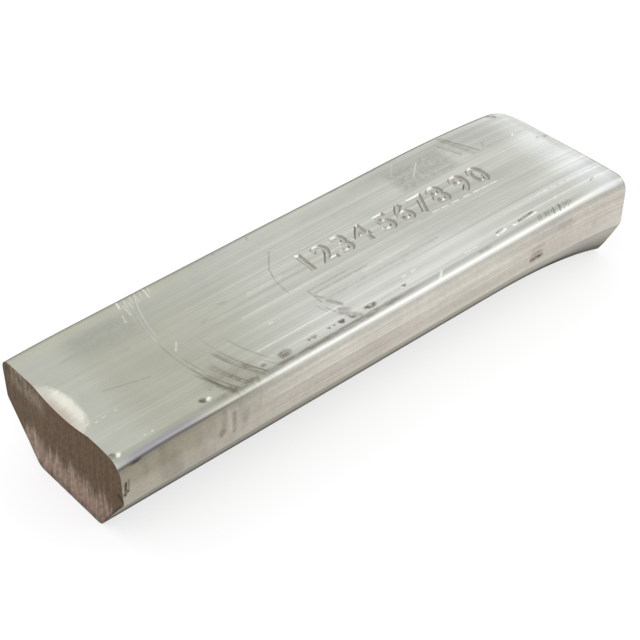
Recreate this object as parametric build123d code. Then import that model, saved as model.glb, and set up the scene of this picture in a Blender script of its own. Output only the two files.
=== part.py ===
from build123d import *
import os

# Small bar of soft solder, extruded as one piece and sheared to length. Sizes in millimetres.
# +X runs along the bar from the blade end to the rolled end, and +Z is up.

# Section: flat top, upright flanks, and sides that taper in to a narrow base
top_width = 31.4
base_width = 16.7
flank_height = 8.35
taper_height = 10.3
top_edge_radius = 2.3
knee_radius = 1.4
base_edge_radius = 1.9

# Length between the top corners of the two cut ends
bar_length = 107.7

# Rolled end: the shear drags the top down and squeezes the base out over the last stretch
roll_length = 28.0
roll_drop = 1.65
roll_drop_power = 2
base_spread = 3.1
base_spread_power = 3
roll_section_count = 6

# Rolled end face: leans under towards its foot and is cut a little out of square
rolled_face_setback = 0.85
rolled_face_skew = 0.8
rolled_corner_radius = 3.5

# Blade end face: leans under, with a half-moon pressed into its top edge
blade_face_setback = 0.35
dip_depth = 1.0
dip_width = 14.6
dip_reach = 2.9
dip_offset = -0.5

# Stock left past each cut before it is trimmed to its face
trim_allowance = 2.0

bar_height = taper_height + flank_height
blade_x = -bar_length / 2
rolled_x = bar_length / 2


def section(x, drop=0.0, spread=0.0):
    """Closed section at x, with its top lowered by drop and its base widened by spread a side."""
    base_y = base_width / 2 + spread
    flank_y = top_width / 2
    knee_z = taper_height - drop
    top_z = bar_height - drop
    corners = [
        (-base_y, 0), (base_y, 0),
        (flank_y, knee_z), (flank_y, top_z),
        (-flank_y, top_z), (-flank_y, knee_z),
    ]
    outline = make_face(Polyline(*corners, close=True))
    outline = fillet(outline.vertices().group_by(Axis.Y)[-1], top_edge_radius)
    outline = fillet(outline.vertices().group_by(Axis.Y)[1], knee_radius)
    outline = fillet(outline.vertices().group_by(Axis.Y)[0], base_edge_radius)
    return Plane(origin=(x, 0, 0), x_dir=(0, 1, 0), z_dir=(1, 0, 0)) * outline


def straight_run():
    """Plain extruded stock, from past the blade end up to where the roll starts."""
    start = blade_x - trim_allowance
    return extrude(section(start), amount=rolled_x - roll_length - start)


def rolled_run():
    """Last stretch, lofted as its top rolls over and its foot spreads."""
    sections = []
    for step in range(roll_section_count):
        reach = step / (roll_section_count - 1)
        along = reach * (roll_length + trim_allowance)
        share = along / roll_length
        drop = roll_drop * share**roll_drop_power
        spread = base_spread * share**base_spread_power
        sections.append(section(rolled_x - roll_length + along, drop, spread))
    return loft(sections)


def trim_rolled_end(stock):
    """Cuts the rolled end to its leaning, skewed face, with the dragged corner rounded in plan."""
    far_y = top_width / 2 + trim_allowance
    rear_x = blade_x - 2 * trim_allowance
    top_z = bar_height - roll_drop
    skew_slope = rolled_face_skew / top_width
    lean = Vector(-rolled_face_setback / top_z, 0, -1)
    plan = make_face(Polyline(
        (rear_x, -far_y),
        (rolled_x + skew_slope * trim_allowance, -far_y),
        (rolled_x - rolled_face_skew, top_width / 2),
        (rear_x, top_width / 2),
        close=True,
    ))
    dragged_corner = plan.vertices().group_by(Axis.Y)[-1].sort_by(Axis.X)[-1]
    plan = fillet(dragged_corner, rolled_corner_radius)
    above = lean * -roll_drop
    kept = Pos(above.X, 0, bar_height) * extrude(plan, amount=bar_height * lean.length, dir=lean)
    return stock & kept


def trim_blade_end(stock):
    """Cuts the blade end to its leaning face."""
    face = Plane(
        origin=(blade_x, 0, bar_height),
        z_dir=Vector(-1, 0, -blade_face_setback / bar_height),
    )
    return split(stock, bisect_by=face, keep=Keep.BOTTOM)


def half_moon_dip():
    """Leaning round cutter that leaves a half-moon where it crosses the blade end's top edge."""
    radius = (dip_width**2 / 4 + dip_depth**2) / (2 * dip_depth)
    ramp = Vector(dip_reach, 0, dip_depth).normalized()
    bottom = Vector(blade_x, dip_offset, bar_height - dip_depth)
    upright = Vector(-ramp.Z, 0, ramp.X)
    run = Plane(origin=bottom + upright * radius, z_dir=ramp)
    return run * Cylinder(radius, 4 * dip_reach)


bar = straight_run() + rolled_run()
bar = trim_rolled_end(bar)
bar = trim_blade_end(bar)
bar = bar - half_moon_dip()

# The bar stands on its base, with the middle of its box over the origin
middle = bar.bounding_box().center()
bar = Pos(-middle.X, -middle.Y, -bar.bounding_box().min.Z) * bar

os.makedirs("parts", exist_ok=True)
export_step(bar, "parts/solder_bar.step")
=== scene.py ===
import logging
import math
from dataclasses import dataclass, replace
from enum import Enum
from functools import cache
from itertools import pairwise
from typing import Callable, Sequence

import bmesh
import bpy
from mathutils import Matrix, Vector


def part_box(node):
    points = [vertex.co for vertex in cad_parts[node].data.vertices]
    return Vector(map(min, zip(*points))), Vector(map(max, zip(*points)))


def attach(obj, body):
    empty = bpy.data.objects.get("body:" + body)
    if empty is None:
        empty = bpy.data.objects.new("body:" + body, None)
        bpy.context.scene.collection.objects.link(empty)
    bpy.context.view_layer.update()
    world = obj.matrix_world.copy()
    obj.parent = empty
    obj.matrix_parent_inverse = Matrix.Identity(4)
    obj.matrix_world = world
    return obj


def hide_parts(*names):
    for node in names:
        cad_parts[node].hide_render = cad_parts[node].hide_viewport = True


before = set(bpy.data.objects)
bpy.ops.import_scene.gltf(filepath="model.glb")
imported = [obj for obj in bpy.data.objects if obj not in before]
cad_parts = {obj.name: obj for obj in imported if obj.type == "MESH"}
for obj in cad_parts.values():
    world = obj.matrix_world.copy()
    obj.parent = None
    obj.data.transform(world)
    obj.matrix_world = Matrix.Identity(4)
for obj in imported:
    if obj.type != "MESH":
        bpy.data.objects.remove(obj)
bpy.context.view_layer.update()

# Sizes and places on the bar are in millimetres, in its own frame, and MM turns them to metres. The
# studio's floor and lamps are in metres.
MM = 0.001
NODE = "solder_bar"
BODY = "root"
PLACE = "drawn_place"
PRESSED = "pressed_depth"
WALL = "wall_facing"

log = logging.getLogger(NODE)

Colour = tuple[float, float, float]
Point = tuple[float, float]
Socket = bpy.types.NodeSocket


def linear(red: int, green: int, blue: int) -> Colour:
    """Turns a display colour into the linear one that shaders take.

    Args:
        red: Red, from 0 to 255.
        green: Green, from 0 to 255.
        blue: Blue, from 0 to 255.

    Returns:
        The linear colour, each part from 0 to 1.
    """
    def part(level: int) -> float:
        """Undoes the display curve for one part."""
        share = level / 255
        return share / 12.92 if share <= 0.04045 else ((share + 0.055) / 1.055) ** 2.4

    return part(red), part(green), part(blue)


class Workpiece:
    """A mesh object on the bench, selected by place, shaped in edit mode and finished with modifiers."""

    def __init__(self, obj: bpy.types.Object) -> None:
        """Takes an object as the piece to work on."""
        self.obj = obj

    @staticmethod
    def clear_bench() -> None:
        """Leaves edit mode and deselects everything."""
        if bpy.context.mode != "OBJECT":
            bpy.ops.object.mode_set(mode="OBJECT")
        bpy.ops.object.select_all(action="DESELECT")

    def take(self) -> None:
        """Makes this the only selected object, and the active one."""
        self.clear_bench()
        self.obj.select_set(True)
        bpy.context.view_layer.objects.active = self.obj

    def edit(self, mode: str) -> None:
        """Goes into edit mode with nothing selected.

        Args:
            mode: What is picked: VERT, EDGE or FACE.
        """
        self.take()
        bpy.ops.object.mode_set(mode="EDIT")
        bpy.ops.mesh.select_mode(type=mode)
        bpy.ops.mesh.select_all(action="DESELECT")

    def pick_verts(self, test: Callable[[Vector], bool]) -> None:
        """Selects, in edit mode, only the vertices whose place passes the test.

        Args:
            test: Takes a place in metres and says whether the vertex there is picked.
        """
        mesh = bmesh.from_edit_mesh(self.obj.data)
        for vert in mesh.verts:
            vert.select_set(test(vert.co))
        mesh.select_flush_mode()
        bmesh.update_edit_mesh(self.obj.data)

    def pick_edges(self, test: Callable[[Vector, Vector], bool]) -> None:
        """Selects, in edit mode, the edges whose two ends pass the test.

        Args:
            test: Takes the places of both ends and says whether the edge is picked.
        """
        bpy.ops.mesh.select_all(action="DESELECT")
        mesh = bmesh.from_edit_mesh(self.obj.data)
        for edge in mesh.edges:
            if test(edge.verts[0].co, edge.verts[1].co):
                edge.select_set(True)
        bmesh.update_edit_mesh(self.obj.data)

    def pick_faces(self, test: Callable[[Vector, Vector], bool]) -> None:
        """Selects, in edit mode, the faces that pass the test.

        Args:
            test: Takes a face's middle and normal and says whether it is picked.
        """
        bpy.ops.mesh.select_all(action="DESELECT")
        mesh = bmesh.from_edit_mesh(self.obj.data)
        mesh.normal_update()
        for face in mesh.faces:
            if test(face.calc_center_median(), face.normal):
                face.select_set(True)
        bmesh.update_edit_mesh(self.obj.data)

    def finish_with(self, kind: str, **settings: object) -> None:
        """Adds a modifier and applies it.

        Args:
            kind: The modifier's type.
            **settings: Its settings, by name.
        """
        self.take()
        modifier = self.obj.modifiers.new(kind.title(), kind)
        for name, value in settings.items():
            setattr(modifier, name, value)
        bpy.ops.object.modifier_apply(modifier=modifier.name)

    def paint(self, material: bpy.types.Material, test: Callable[[Vector, Vector], bool]) -> None:
        """Gives the faces that pass a test a material.

        Args:
            material: The material.
            test: Takes a face's middle and normal and says whether it is painted.
        """
        self.obj.data.materials.append(material)
        self.edit("FACE")
        self.pick_faces(test)
        self.obj.active_material_index = len(self.obj.data.materials) - 1
        bpy.ops.object.material_slot_assign()
        self.clear_bench()

    def store(self, name: str, kind: str, values: Sequence[object]) -> None:
        """Stores a value at each vertex, for a finish to read.

        Args:
            name: The attribute's name.
            kind: FLOAT or FLOAT_VECTOR.
            values: One value for each vertex.
        """
        store = self.obj.data.attributes.new(name, kind, "POINT")
        part = "value" if kind == "FLOAT" else "vector"
        for item, value in zip(store.data, values):
            setattr(item, part, value)

    def group(self, name: str, test: Callable[[Vector], bool]) -> str:
        """Makes a group of the vertices whose place passes a test.

        Args:
            name: The group's name.
            test: Takes a place in metres and says whether the vertex there is in the group.

        Returns:
            The name that the group got.
        """
        group = self.obj.vertex_groups.new(name=name)
        group.add([vert.index for vert in self.obj.data.vertices if test(vert.co)], 1.0, "REPLACE")
        return group.name

    def discard(self) -> None:
        """Removes the object once its work is done."""
        bpy.data.objects.remove(self.obj)


@dataclass(frozen=True)
class BarSection:
    """The drawn section: flat top, upright flanks and sides that taper in to a narrow base."""

    top_width: float = 31.4
    base_width: float = 16.7
    flank_height: float = 8.35
    taper_height: float = 10.3
    top_edge_radius: float = 2.3
    knee_radius: float = 1.4
    base_edge_radius: float = 1.9
    arc_steps: int = 7
    taper_steps: int = 7
    flank_steps: int = 6

    @property
    def height(self) -> float:
        """Full height of the bar."""
        return self.taper_height + self.flank_height

    def corner_arc(self, before: Vector, corner: Vector, after: Vector, radius: float) -> list[Vector]:
        """Rounds one corner of the outline.

        Args:
            before: A point on the outline before the corner.
            corner: The sharp corner.
            after: A point on the outline after it.
            radius: The corner's radius.

        Returns:
            Points along the arc, from its first tangent point to its last.
        """
        into = (corner - before).normalized()
        out = (after - corner).normalized()
        turn = into.angle_signed(out)
        reach = radius * math.tan(abs(turn) / 2)
        start = corner - into * reach
        side = Vector((into.y, -into.x)) * math.copysign(1, turn)
        centre = start + side * radius
        arm = start - centre
        points = []
        for step in range(self.arc_steps + 1):
            swing = Matrix.Rotation(-turn * step / self.arc_steps, 2)
            points.append(centre + swing @ arm)
        return points

    def rows(self) -> list[Vector]:
        """Works out the right-hand outline from the base up.

        Returns:
            Points of half width and height, one for each row of the end face.
        """
        middle = Vector((0, 0))
        foot = Vector((self.base_width / 2, 0))
        knee = Vector((self.top_width / 2, self.taper_height))
        shoulder = Vector((self.top_width / 2, self.height))
        crown = Vector((0, self.height))
        foot_arc = self.corner_arc(middle, foot, knee, self.base_edge_radius)
        knee_arc = self.corner_arc(foot, knee, shoulder, self.knee_radius)
        top_arc = self.corner_arc(knee, shoulder, crown, self.top_edge_radius)
        taper = [foot_arc[-1].lerp(knee_arc[0], s / self.taper_steps) for s in range(1, self.taper_steps)]
        flank = [knee_arc[-1].lerp(top_arc[0], s / self.flank_steps) for s in range(1, self.flank_steps)]
        return [*foot_arc, *taper, *knee_arc, *flank, *top_arc]


@dataclass
class EndCage:
    """A lattice round one end of the bar, whose points say how far the shear moved the metal."""

    start_x: float
    end_x: float
    width: float
    height: float
    shift: Callable[[float, float, float], Vector]
    along: int = 64
    across: int = 48
    upward: int = 19

    def shape(self, piece: Workpiece) -> None:
        """Moves the end of a piece as the cage says.

        Args:
            piece: The bar.
        """
        Workpiece.clear_bench()
        middle = Vector(((self.start_x + self.end_x) / 2, 0, self.height / 2))
        size = Vector((abs(self.end_x - self.start_x), self.width, self.height))
        bpy.ops.object.add(type="LATTICE", location=middle * MM)
        cage = bpy.context.object
        cage.scale = size * MM
        cage.data.points_u = self.along
        cage.data.points_v = self.across
        cage.data.points_w = self.upward
        for axis in "uvw":
            setattr(cage.data, f"interpolation_type_{axis}", "KEY_LINEAR")
        for point in cage.data.points:
            place = middle + point.co * size
            share = (place.x - self.start_x) / (self.end_x - self.start_x)
            moved = self.shift(share, place.y, place.z)
            point.co_deform = point.co + Vector(a / b for a, b in zip(moved, size))
        bpy.context.view_layer.update()
        piece.finish_with("LATTICE", object=cage)
        Workpiece(cage).discard()


@dataclass(frozen=True)
class RolledEnd:
    """The end that the shear dragged down: its top rolls over, its foot spreads, and its face leans."""

    length: float = 28.0
    drop: float = 1.65
    drop_power: int = 2
    tilt: float = 0.32
    spread: float = 3.1
    spread_power: int = 3
    scoop: float = 0.45
    setback: float = 0.85
    skew: float = 0.8
    lean_power: int = 6
    corner_radius: float = 3.6
    corner_power: int = 5
    corner_drop: float = 0.35
    lip_length: float = 7.0
    lip_drop: float = 0.15
    lip_power: int = 2
    corner_lip: float = 0.3
    corner_lip_from: float = 0.4
    face_zone: float = 2.4

    def sink(self, share: float, side: float = 1.0) -> float:
        """Says how far the metal has sunk.

        Args:
            share: How far along the rolled stretch, from 0 to 1.
            side: Where across the top, from -1 to 1. The top sinks most at 1, as much as the knee.

        Returns:
            The drop.
        """
        lip = max(0.0, 1 - (1 - share) * self.length / self.lip_length)
        near_corner = max(0.0, (-side - self.corner_lip_from) / (1 - self.corner_lip_from))
        rolled = self.drop * (1 - self.tilt * (1 - side)) * max(0.0, share) ** self.drop_power
        lip_drop = self.lip_drop + self.corner_lip * near_corner**2
        return rolled + lip_drop * lip**self.lip_power

    def shift(self, section: BarSection, share: float, y: float, z: float) -> Vector:
        """Says how far the metal moved at one place.

        Args:
            section: The bar's section.
            share: How far along the rolled stretch, from 0 to 1.
            y: Place across the bar.
            z: Height.

        Returns:
            The move.
        """
        half = section.top_width / 2
        level = min(1.0, z / section.taper_height)
        low = 1 - level
        upper = max(0.0, (z - section.taper_height) / section.flank_height)
        sink = self.sink(share) * (1 - upper) + self.sink(share, y / half) * upper
        lean = self.setback * (1 - z / section.height) + self.skew * (y + half) / (2 * half)
        left = (1 - share) * self.length
        pull = 0.0
        if left < self.corner_radius and y > 0:
            inner = self.corner_radius - left
            pull = self.corner_radius - math.sqrt(max(0.0, self.corner_radius**2 - inner**2))
            pull *= (y / half) ** self.corner_power
        # The scoop is deepest half-way up the taper, where low * level is a quarter
        scoop = math.copysign(4 * self.scoop * low * level, y)
        spread = y / (section.base_width / 2) * self.spread * low - scoop
        corner = self.corner_drop / self.corner_radius * pull
        return Vector((
            -lean * share**self.lean_power,
            spread * share**self.spread_power - pull,
            -(sink + corner) * level,
        ))


@dataclass(frozen=True)
class BladeEnd:
    """The end that the blade went through: a leaning face with a half-moon pressed into its top edge."""

    length: float = 12.0
    setback: float = 0.35
    lean_power: int = 4
    dip_depth: float = 1.0
    dip_reach: float = 2.9
    dip_half_width: float = 7.3
    dip_y: float = -0.5
    shoulder_drop: float = 0.8
    shoulder_y: float = -10.5
    pinch: float = 0.35
    face_zone: float = 0.6

    def shift(self, section: BarSection, share: float, y: float, z: float) -> Vector:
        """Says how far the metal moved at one place.

        Args:
            section: The bar's section.
            share: How far along the stretch towards the cut face, from 0 to 1.
            y: Place across the bar.
            z: Height.

        Returns:
            The move.
        """
        level = z / section.height
        left = (1 - share) * self.length
        inside = 1 - (left / self.dip_reach) ** 2 - ((y - self.dip_y) / self.dip_half_width) ** 2
        dip = self.dip_depth * max(0.0, inside)
        edge = max(0.0, (self.shoulder_y - y) / (self.shoulder_y + section.top_width / 2))
        droop = self.shoulder_drop * edge**2 * share**2
        pinch = self.pinch * max(0.0, 2 * y / section.top_width) * share**2
        lean = self.setback * (1 - level) * share**self.lean_power
        return Vector((lean, -pinch, -(dip + droop) * level**2))


@dataclass(frozen=True)
class Dent:
    """A pore or nick in the top, as the ball that fits it."""

    x: float
    y: float
    half_length: float
    half_width: float
    depth: float
    spare: float = 0.7
    segments: int = 24
    rings: int = 12

    def ball(self, top_z: float) -> bpy.types.Object:
        """Makes the ball, half sunk in the top.

        Args:
            top_z: Height of the top there.

        Returns:
            The ball.
        """
        Workpiece.clear_bench()
        bpy.ops.mesh.primitive_uv_sphere_add(segments=self.segments, ring_count=self.rings, radius=MM)
        ball = bpy.context.object
        ball.scale = (self.half_length, self.half_width, self.depth)
        ball.location = Vector((self.x, self.y, top_z)) * MM
        return ball

    def reaches(self, place: Vector) -> bool:
        """Says whether a place is in the dent or just beside it.

        Args:
            place: The place, in metres.

        Returns:
            True if it is.
        """
        along = abs(place.x / MM - self.x) < self.half_length + self.spare
        return along and abs(place.y / MM - self.y) < self.half_width + self.spare


@dataclass(frozen=True)
class DigitRow:
    """A row of plain counting digits, punched one by one into the top."""

    digits: str = "1234567890"
    group: int = 4
    first_x: float = -3.6
    first_y: float = 0.2
    pitch: float = 3.95
    group_gap: float = 1.2
    slope: float = -0.024
    size: float = 6.3
    height_share: float = 0.75
    thinning: float = 0.1
    nose: float = 0.36
    nose_steps: int = 3
    depth: float = 0.46
    spare: float = 0.9

    def digit_x(self, index: int) -> float:
        """Says where along the bar a digit stands."""
        return self.first_x + index * self.pitch + index // self.group * self.group_gap

    def punches(self, top_z: Callable[[float, float], float]) -> list[bpy.types.Object]:
        """Makes the punches, set in a row with their noses in the top.

        Args:
            top_z: Gives the height of the top at a place along and across the bar.

        Returns:
            One punch for each digit.
        """
        made = []
        for index, digit in enumerate(self.digits):
            Workpiece.clear_bench()
            bpy.ops.object.text_add()
            punch = bpy.context.object
            punch.data.body = digit
            punch.data.align_x = "CENTER"
            punch.data.size = self.size * MM
            punch.data.offset = -self.thinning * MM
            punch.data.bevel_depth = self.nose * MM
            punch.data.bevel_resolution = self.nose_steps
            bpy.ops.object.convert(target="MESH")
            x = self.digit_x(index)
            y = self.first_y + (x - self.first_x) * self.slope
            fall = top_z(x - self.pitch / 2, y) - top_z(x + self.pitch / 2, y)
            punch.location = Vector((x, y, top_z(x, y) + self.nose - self.depth)) * MM
            punch.rotation_euler = (0, math.atan2(fall, self.pitch), self.slope)
            made.append(punch)
        return made

    def reaches(self, place: Vector) -> bool:
        """Says whether a place is in the row or just beside it.

        Args:
            place: The place, in metres.

        Returns:
            True if it is.
        """
        along = place.x / MM
        across = place.y / MM - self.first_y - (along - self.first_x) * self.slope
        reach = self.pitch / 2 + self.spare
        last_x = self.digit_x(len(self.digits) - 1)
        if not self.first_x - reach < along < last_x + reach:
            return False
        return -self.spare < across < self.size * self.height_share + self.spare


class Graph:
    """Short-hand for wiring a node tree."""

    def __init__(self, tree: bpy.types.NodeTree) -> None:
        """Takes an empty node tree."""
        self.tree = tree

    @classmethod
    def for_material(cls, material: bpy.types.Material) -> "Graph":
        """Empties a material's nodes and takes its tree.

        Args:
            material: The material.

        Returns:
            Its empty tree.
        """
        material.use_nodes = True
        material.node_tree.nodes.clear()
        return cls(material.node_tree)

    def add(self, kind: str, **settings: object) -> bpy.types.Node:
        """Adds a node.

        Args:
            kind: The node's type.
            **settings: Its settings, by name.

        Returns:
            The node.
        """
        node = self.tree.nodes.new(kind)
        for name, value in settings.items():
            setattr(node, name, value)
        return node

    def feed(self, socket: Socket, value: object) -> None:
        """Links a socket to another, or sets its number or colour.

        Args:
            socket: The input to fill.
            value: An output socket, a number, or the parts of a vector or colour.
        """
        if isinstance(value, Socket):
            self.tree.links.new(value, socket)
        elif isinstance(value, (int, float)):
            socket.default_value = value
        else:
            parts = tuple(value)
            room = len(socket.default_value)
            socket.default_value = parts + (1.0,) * (room - len(parts))

    def math(self, operation: str, *values: object, clamp: bool = False) -> Socket:
        """Does a sum on numbers.

        Args:
            operation: The Math node's operation.
            *values: Its inputs, sockets or numbers.
            clamp: Whether the result is held between 0 and 1.

        Returns:
            The result.
        """
        node = self.add("ShaderNodeMath", operation=operation, use_clamp=clamp)
        for socket, value in zip(node.inputs, values):
            self.feed(socket, value)
        return node.outputs[0]

    def product(self, first: object, *others: object) -> Socket:
        """Multiplies numbers.

        Args:
            first: A socket or number.
            *others: More of them.

        Returns:
            Their product.
        """
        result = first
        for other in others:
            result = self.math("MULTIPLY", result, other)
        return result

    def vector(self, operation: str, *values: object, output: str = "Vector") -> Socket:
        """Does a sum on vectors.

        Args:
            operation: The Vector Math node's operation.
            *values: Its inputs. A number goes to the scale.
            output: Which output is wanted.

        Returns:
            The result.
        """
        node = self.add("ShaderNodeVectorMath", operation=operation)
        vectors = [node.inputs[0], node.inputs[1], node.inputs[2]]
        for value in values:
            if isinstance(value, (int, float)) or getattr(value, "type", "") == "VALUE":
                self.feed(node.inputs["Scale"], value)
            else:
                self.feed(vectors.pop(0), value)
        return node.outputs[output]

    def split(self, vector: Socket) -> list[Socket]:
        """Takes a vector apart.

        Args:
            vector: The vector.

        Returns:
            Its three numbers.
        """
        node = self.add("ShaderNodeSeparateXYZ")
        self.feed(node.inputs[0], vector)
        return list(node.outputs)

    def join(self, x: object, y: object, z: object = 0.0) -> Socket:
        """Puts three numbers together.

        Args:
            x: The first number.
            y: The second.
            z: The third.

        Returns:
            The vector.
        """
        node = self.add("ShaderNodeCombineXYZ")
        for socket, value in zip(node.inputs, (x, y, z)):
            self.feed(socket, value)
        return node.outputs[0]

    def attribute(self, name: str, output: str) -> Socket:
        """Reads one of the mesh's own attributes."""
        return self.add("ShaderNodeAttribute", attribute_name=name).outputs[output]

    def stamp(self, group: bpy.types.NodeTree, values: Sequence[object]) -> Socket:
        """Sets out a node group that gives a mask.

        Args:
            group: The group.
            values: Its inputs, in order.

        Returns:
            The mask.
        """
        node = self.add("ShaderNodeGroup", node_tree=group)
        for socket, value in zip(node.inputs, values):
            self.feed(socket, value)
        return node.outputs["Mask"]

    def mix(self, share: object, first: object, second: object) -> Socket:
        """Mixes two colours.

        Args:
            share: How much of the second, from 0 to 1.
            first: The colour at 0.
            second: The colour at 1.

        Returns:
            The mixed colour.
        """
        node = self.add("ShaderNodeMix", data_type="RGBA")
        self.feed(node.inputs[0], share)
        self.feed(node.inputs[6], first)
        self.feed(node.inputs[7], second)
        return node.outputs[2]

    def bump(self, height: Socket, distance: float, strength: float) -> Socket:
        """Makes a fine relief.

        Args:
            height: The relief's height, from 0 to 1.
            distance: How high 1 is.
            strength: How much of it shows.

        Returns:
            The bent normal.
        """
        node = self.add("ShaderNodeBump")
        node.inputs["Strength"].default_value = strength
        node.inputs["Distance"].default_value = distance * MM
        self.feed(node.inputs["Height"], height)
        return node.outputs["Normal"]

    def metal(self, colour: object, roughness: object, normal: object, glance: object) -> None:
        """Ends the tree in bare metal.

        Args:
            colour: Its colour.
            roughness: How dull it is.
            normal: Its bent normal.
            glance: The tint of what it reflects at a low angle, white where clean and darker where painted
                shade or a painted reflection lies.
        """
        shader = self.add("ShaderNodeBsdfPrincipled")
        shader.inputs["Metallic"].default_value = 1.0
        for name, value in zip(
            ("Base Color", "Roughness", "Normal", "Specular Tint"), (colour, roughness, normal, glance),
        ):
            self.feed(shader.inputs[name], value)
        output = self.add("ShaderNodeOutputMaterial")
        self.feed(output.inputs["Surface"], shader.outputs[0])


@dataclass(frozen=True)
class Fade:
    """A smooth change of a number, from start to end, as what is read goes from low to high."""

    low: float
    high: float
    start: float = 0.0
    end: float = 1.0

    @classmethod
    def band(cls, low: float, high: float, soft: float) -> tuple["Fade", "Fade"]:
        """Makes the two fades whose product is 1 between two limits and 0 outside.

        Args:
            low: The lower limit.
            high: The upper limit.
            soft: How wide each end's fade is.

        Returns:
            The rise and the fall.
        """
        half = soft / 2
        return cls(low - half, low + half), cls(high + half, high - half)

    def read(self, graph: Graph, value: object) -> Socket:
        """Reads a number through the fade.

        Args:
            graph: The node tree.
            value: The number read.

        Returns:
            The changed number.
        """
        node = graph.add("ShaderNodeMapRange", interpolation_type="SMOOTHSTEP")
        names = ("Value", "From Min", "From Max", "To Min", "To Max")
        for name, number in zip(names, (value, self.low, self.high, self.start, self.end)):
            graph.feed(node.inputs[name], number)
        return node.outputs["Result"]


@dataclass(frozen=True)
class Grain:
    """A cloud pattern in the metal, and the fade that turns it into a shade.

    Its stretch is how many clouds there are to a millimetre along each axis, its detail how many finer
    layers there are, and its roughness how strong they are.
    """

    stretch: tuple[float, float, float]
    detail: float
    roughness: float
    fade: Fade

    def clouds(self, graph: Graph, place: Socket) -> Socket:
        """Reads the plain pattern.

        Args:
            graph: The node tree.
            place: Where it is read.

        Returns:
            The pattern, about 0.5 on average.
        """
        node = graph.add("ShaderNodeTexNoise")
        graph.feed(node.inputs["Vector"], graph.vector("MULTIPLY", place, self.stretch))
        node.inputs["Scale"].default_value = 1.0
        node.inputs["Detail"].default_value = self.detail
        node.inputs["Roughness"].default_value = self.roughness
        return node.outputs["Fac"]

    def read(self, graph: Graph, place: Socket) -> Socket:
        """Reads the pattern through its fade."""
        return self.fade.read(graph, self.clouds(graph, place))


@dataclass(frozen=True)
class Zone:
    """A soft-edged part of the skin, as fades along, across and up the bar, and how strong it is."""

    along: tuple[Fade, ...] = ()
    across: tuple[Fade, ...] = ()
    up: tuple[Fade, ...] = ()
    strength: float = 1.0

    def mask(self, graph: Graph, place: Socket) -> Socket:
        """Says how strongly the zone covers a place.

        Args:
            graph: The node tree.
            place: Where on the straight stock a point is.

        Returns:
            The mask.
        """
        covers = []
        for value, fades in zip(graph.split(place), (self.along, self.across, self.up)):
            covers += [fade.read(graph, value) for fade in fades]
        return graph.product(*covers, self.strength)


@dataclass(frozen=True)
class Coat:
    """A colour that lies over one or more zones of the skin."""

    paint: Colour
    zones: tuple[Zone, ...]

    def lay(self, graph: Graph, place: Socket, colour: object) -> Socket:
        """Lays the coat.

        Args:
            graph: The node tree.
            place: Where on the straight stock a point is.
            colour: The colour under the coat.

        Returns:
            The colour with the coat.
        """
        mask = self.zones[0].mask(graph, place)
        for zone in self.zones[1:]:
            mask = graph.math("MAXIMUM", mask, zone.mask(graph, place))
        return graph.mix(mask, colour, self.paint)


# Where the top gives way to the flanks, how a mark's sides and a sweep's ends fade, and fresh bright metal,
# whose colour also paints highlights and glints
ON_TOP = Fade(17.5, 17.8)
MARK_SIDE = Fade(0.75, 0.15)
SWEEP_END = Fade(-0.6, 1.4)
BRIGHT_METAL_AND_HIGHLIGHT = linear(244, 244, 240)


class MarkKind(Enum):
    """What a mark on the skin is: rubbed-in brown smears and painted shadow in pits, a dark stain or the
    painted shade of a nick, or fresh bright metal and painted glints.
    """

    GRIME = "grime"
    SHADE = "shade"
    BRIGHT = "bright"


class Stencil:
    """A node group with named inputs and one mask, made once and set out for many marks."""

    def __init__(self, name: str, vectors: Sequence[str], numbers: Sequence[str]) -> None:
        """Opens the group.

        Args:
            name: The group's name.
            vectors: Names of its vector inputs.
            numbers: Names of its number inputs.
        """
        self.tree = bpy.data.node_groups.new(name, "ShaderNodeTree")
        for title in vectors:
            self.tree.interface.new_socket(title, in_out="INPUT", socket_type="NodeSocketVector")
        for title in numbers:
            self.tree.interface.new_socket(title, in_out="INPUT", socket_type="NodeSocketFloat")
        self.tree.interface.new_socket("Mask", in_out="OUTPUT", socket_type="NodeSocketFloat")
        self.graph = Graph(self.tree)
        self.ports = self.graph.add("NodeGroupInput").outputs

    def close(self, mask: Socket) -> bpy.types.NodeTree:
        """Sends the mask out and gives the finished group."""
        self.graph.feed(self.graph.add("NodeGroupOutput").inputs["Mask"], mask)
        return self.tree


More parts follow.
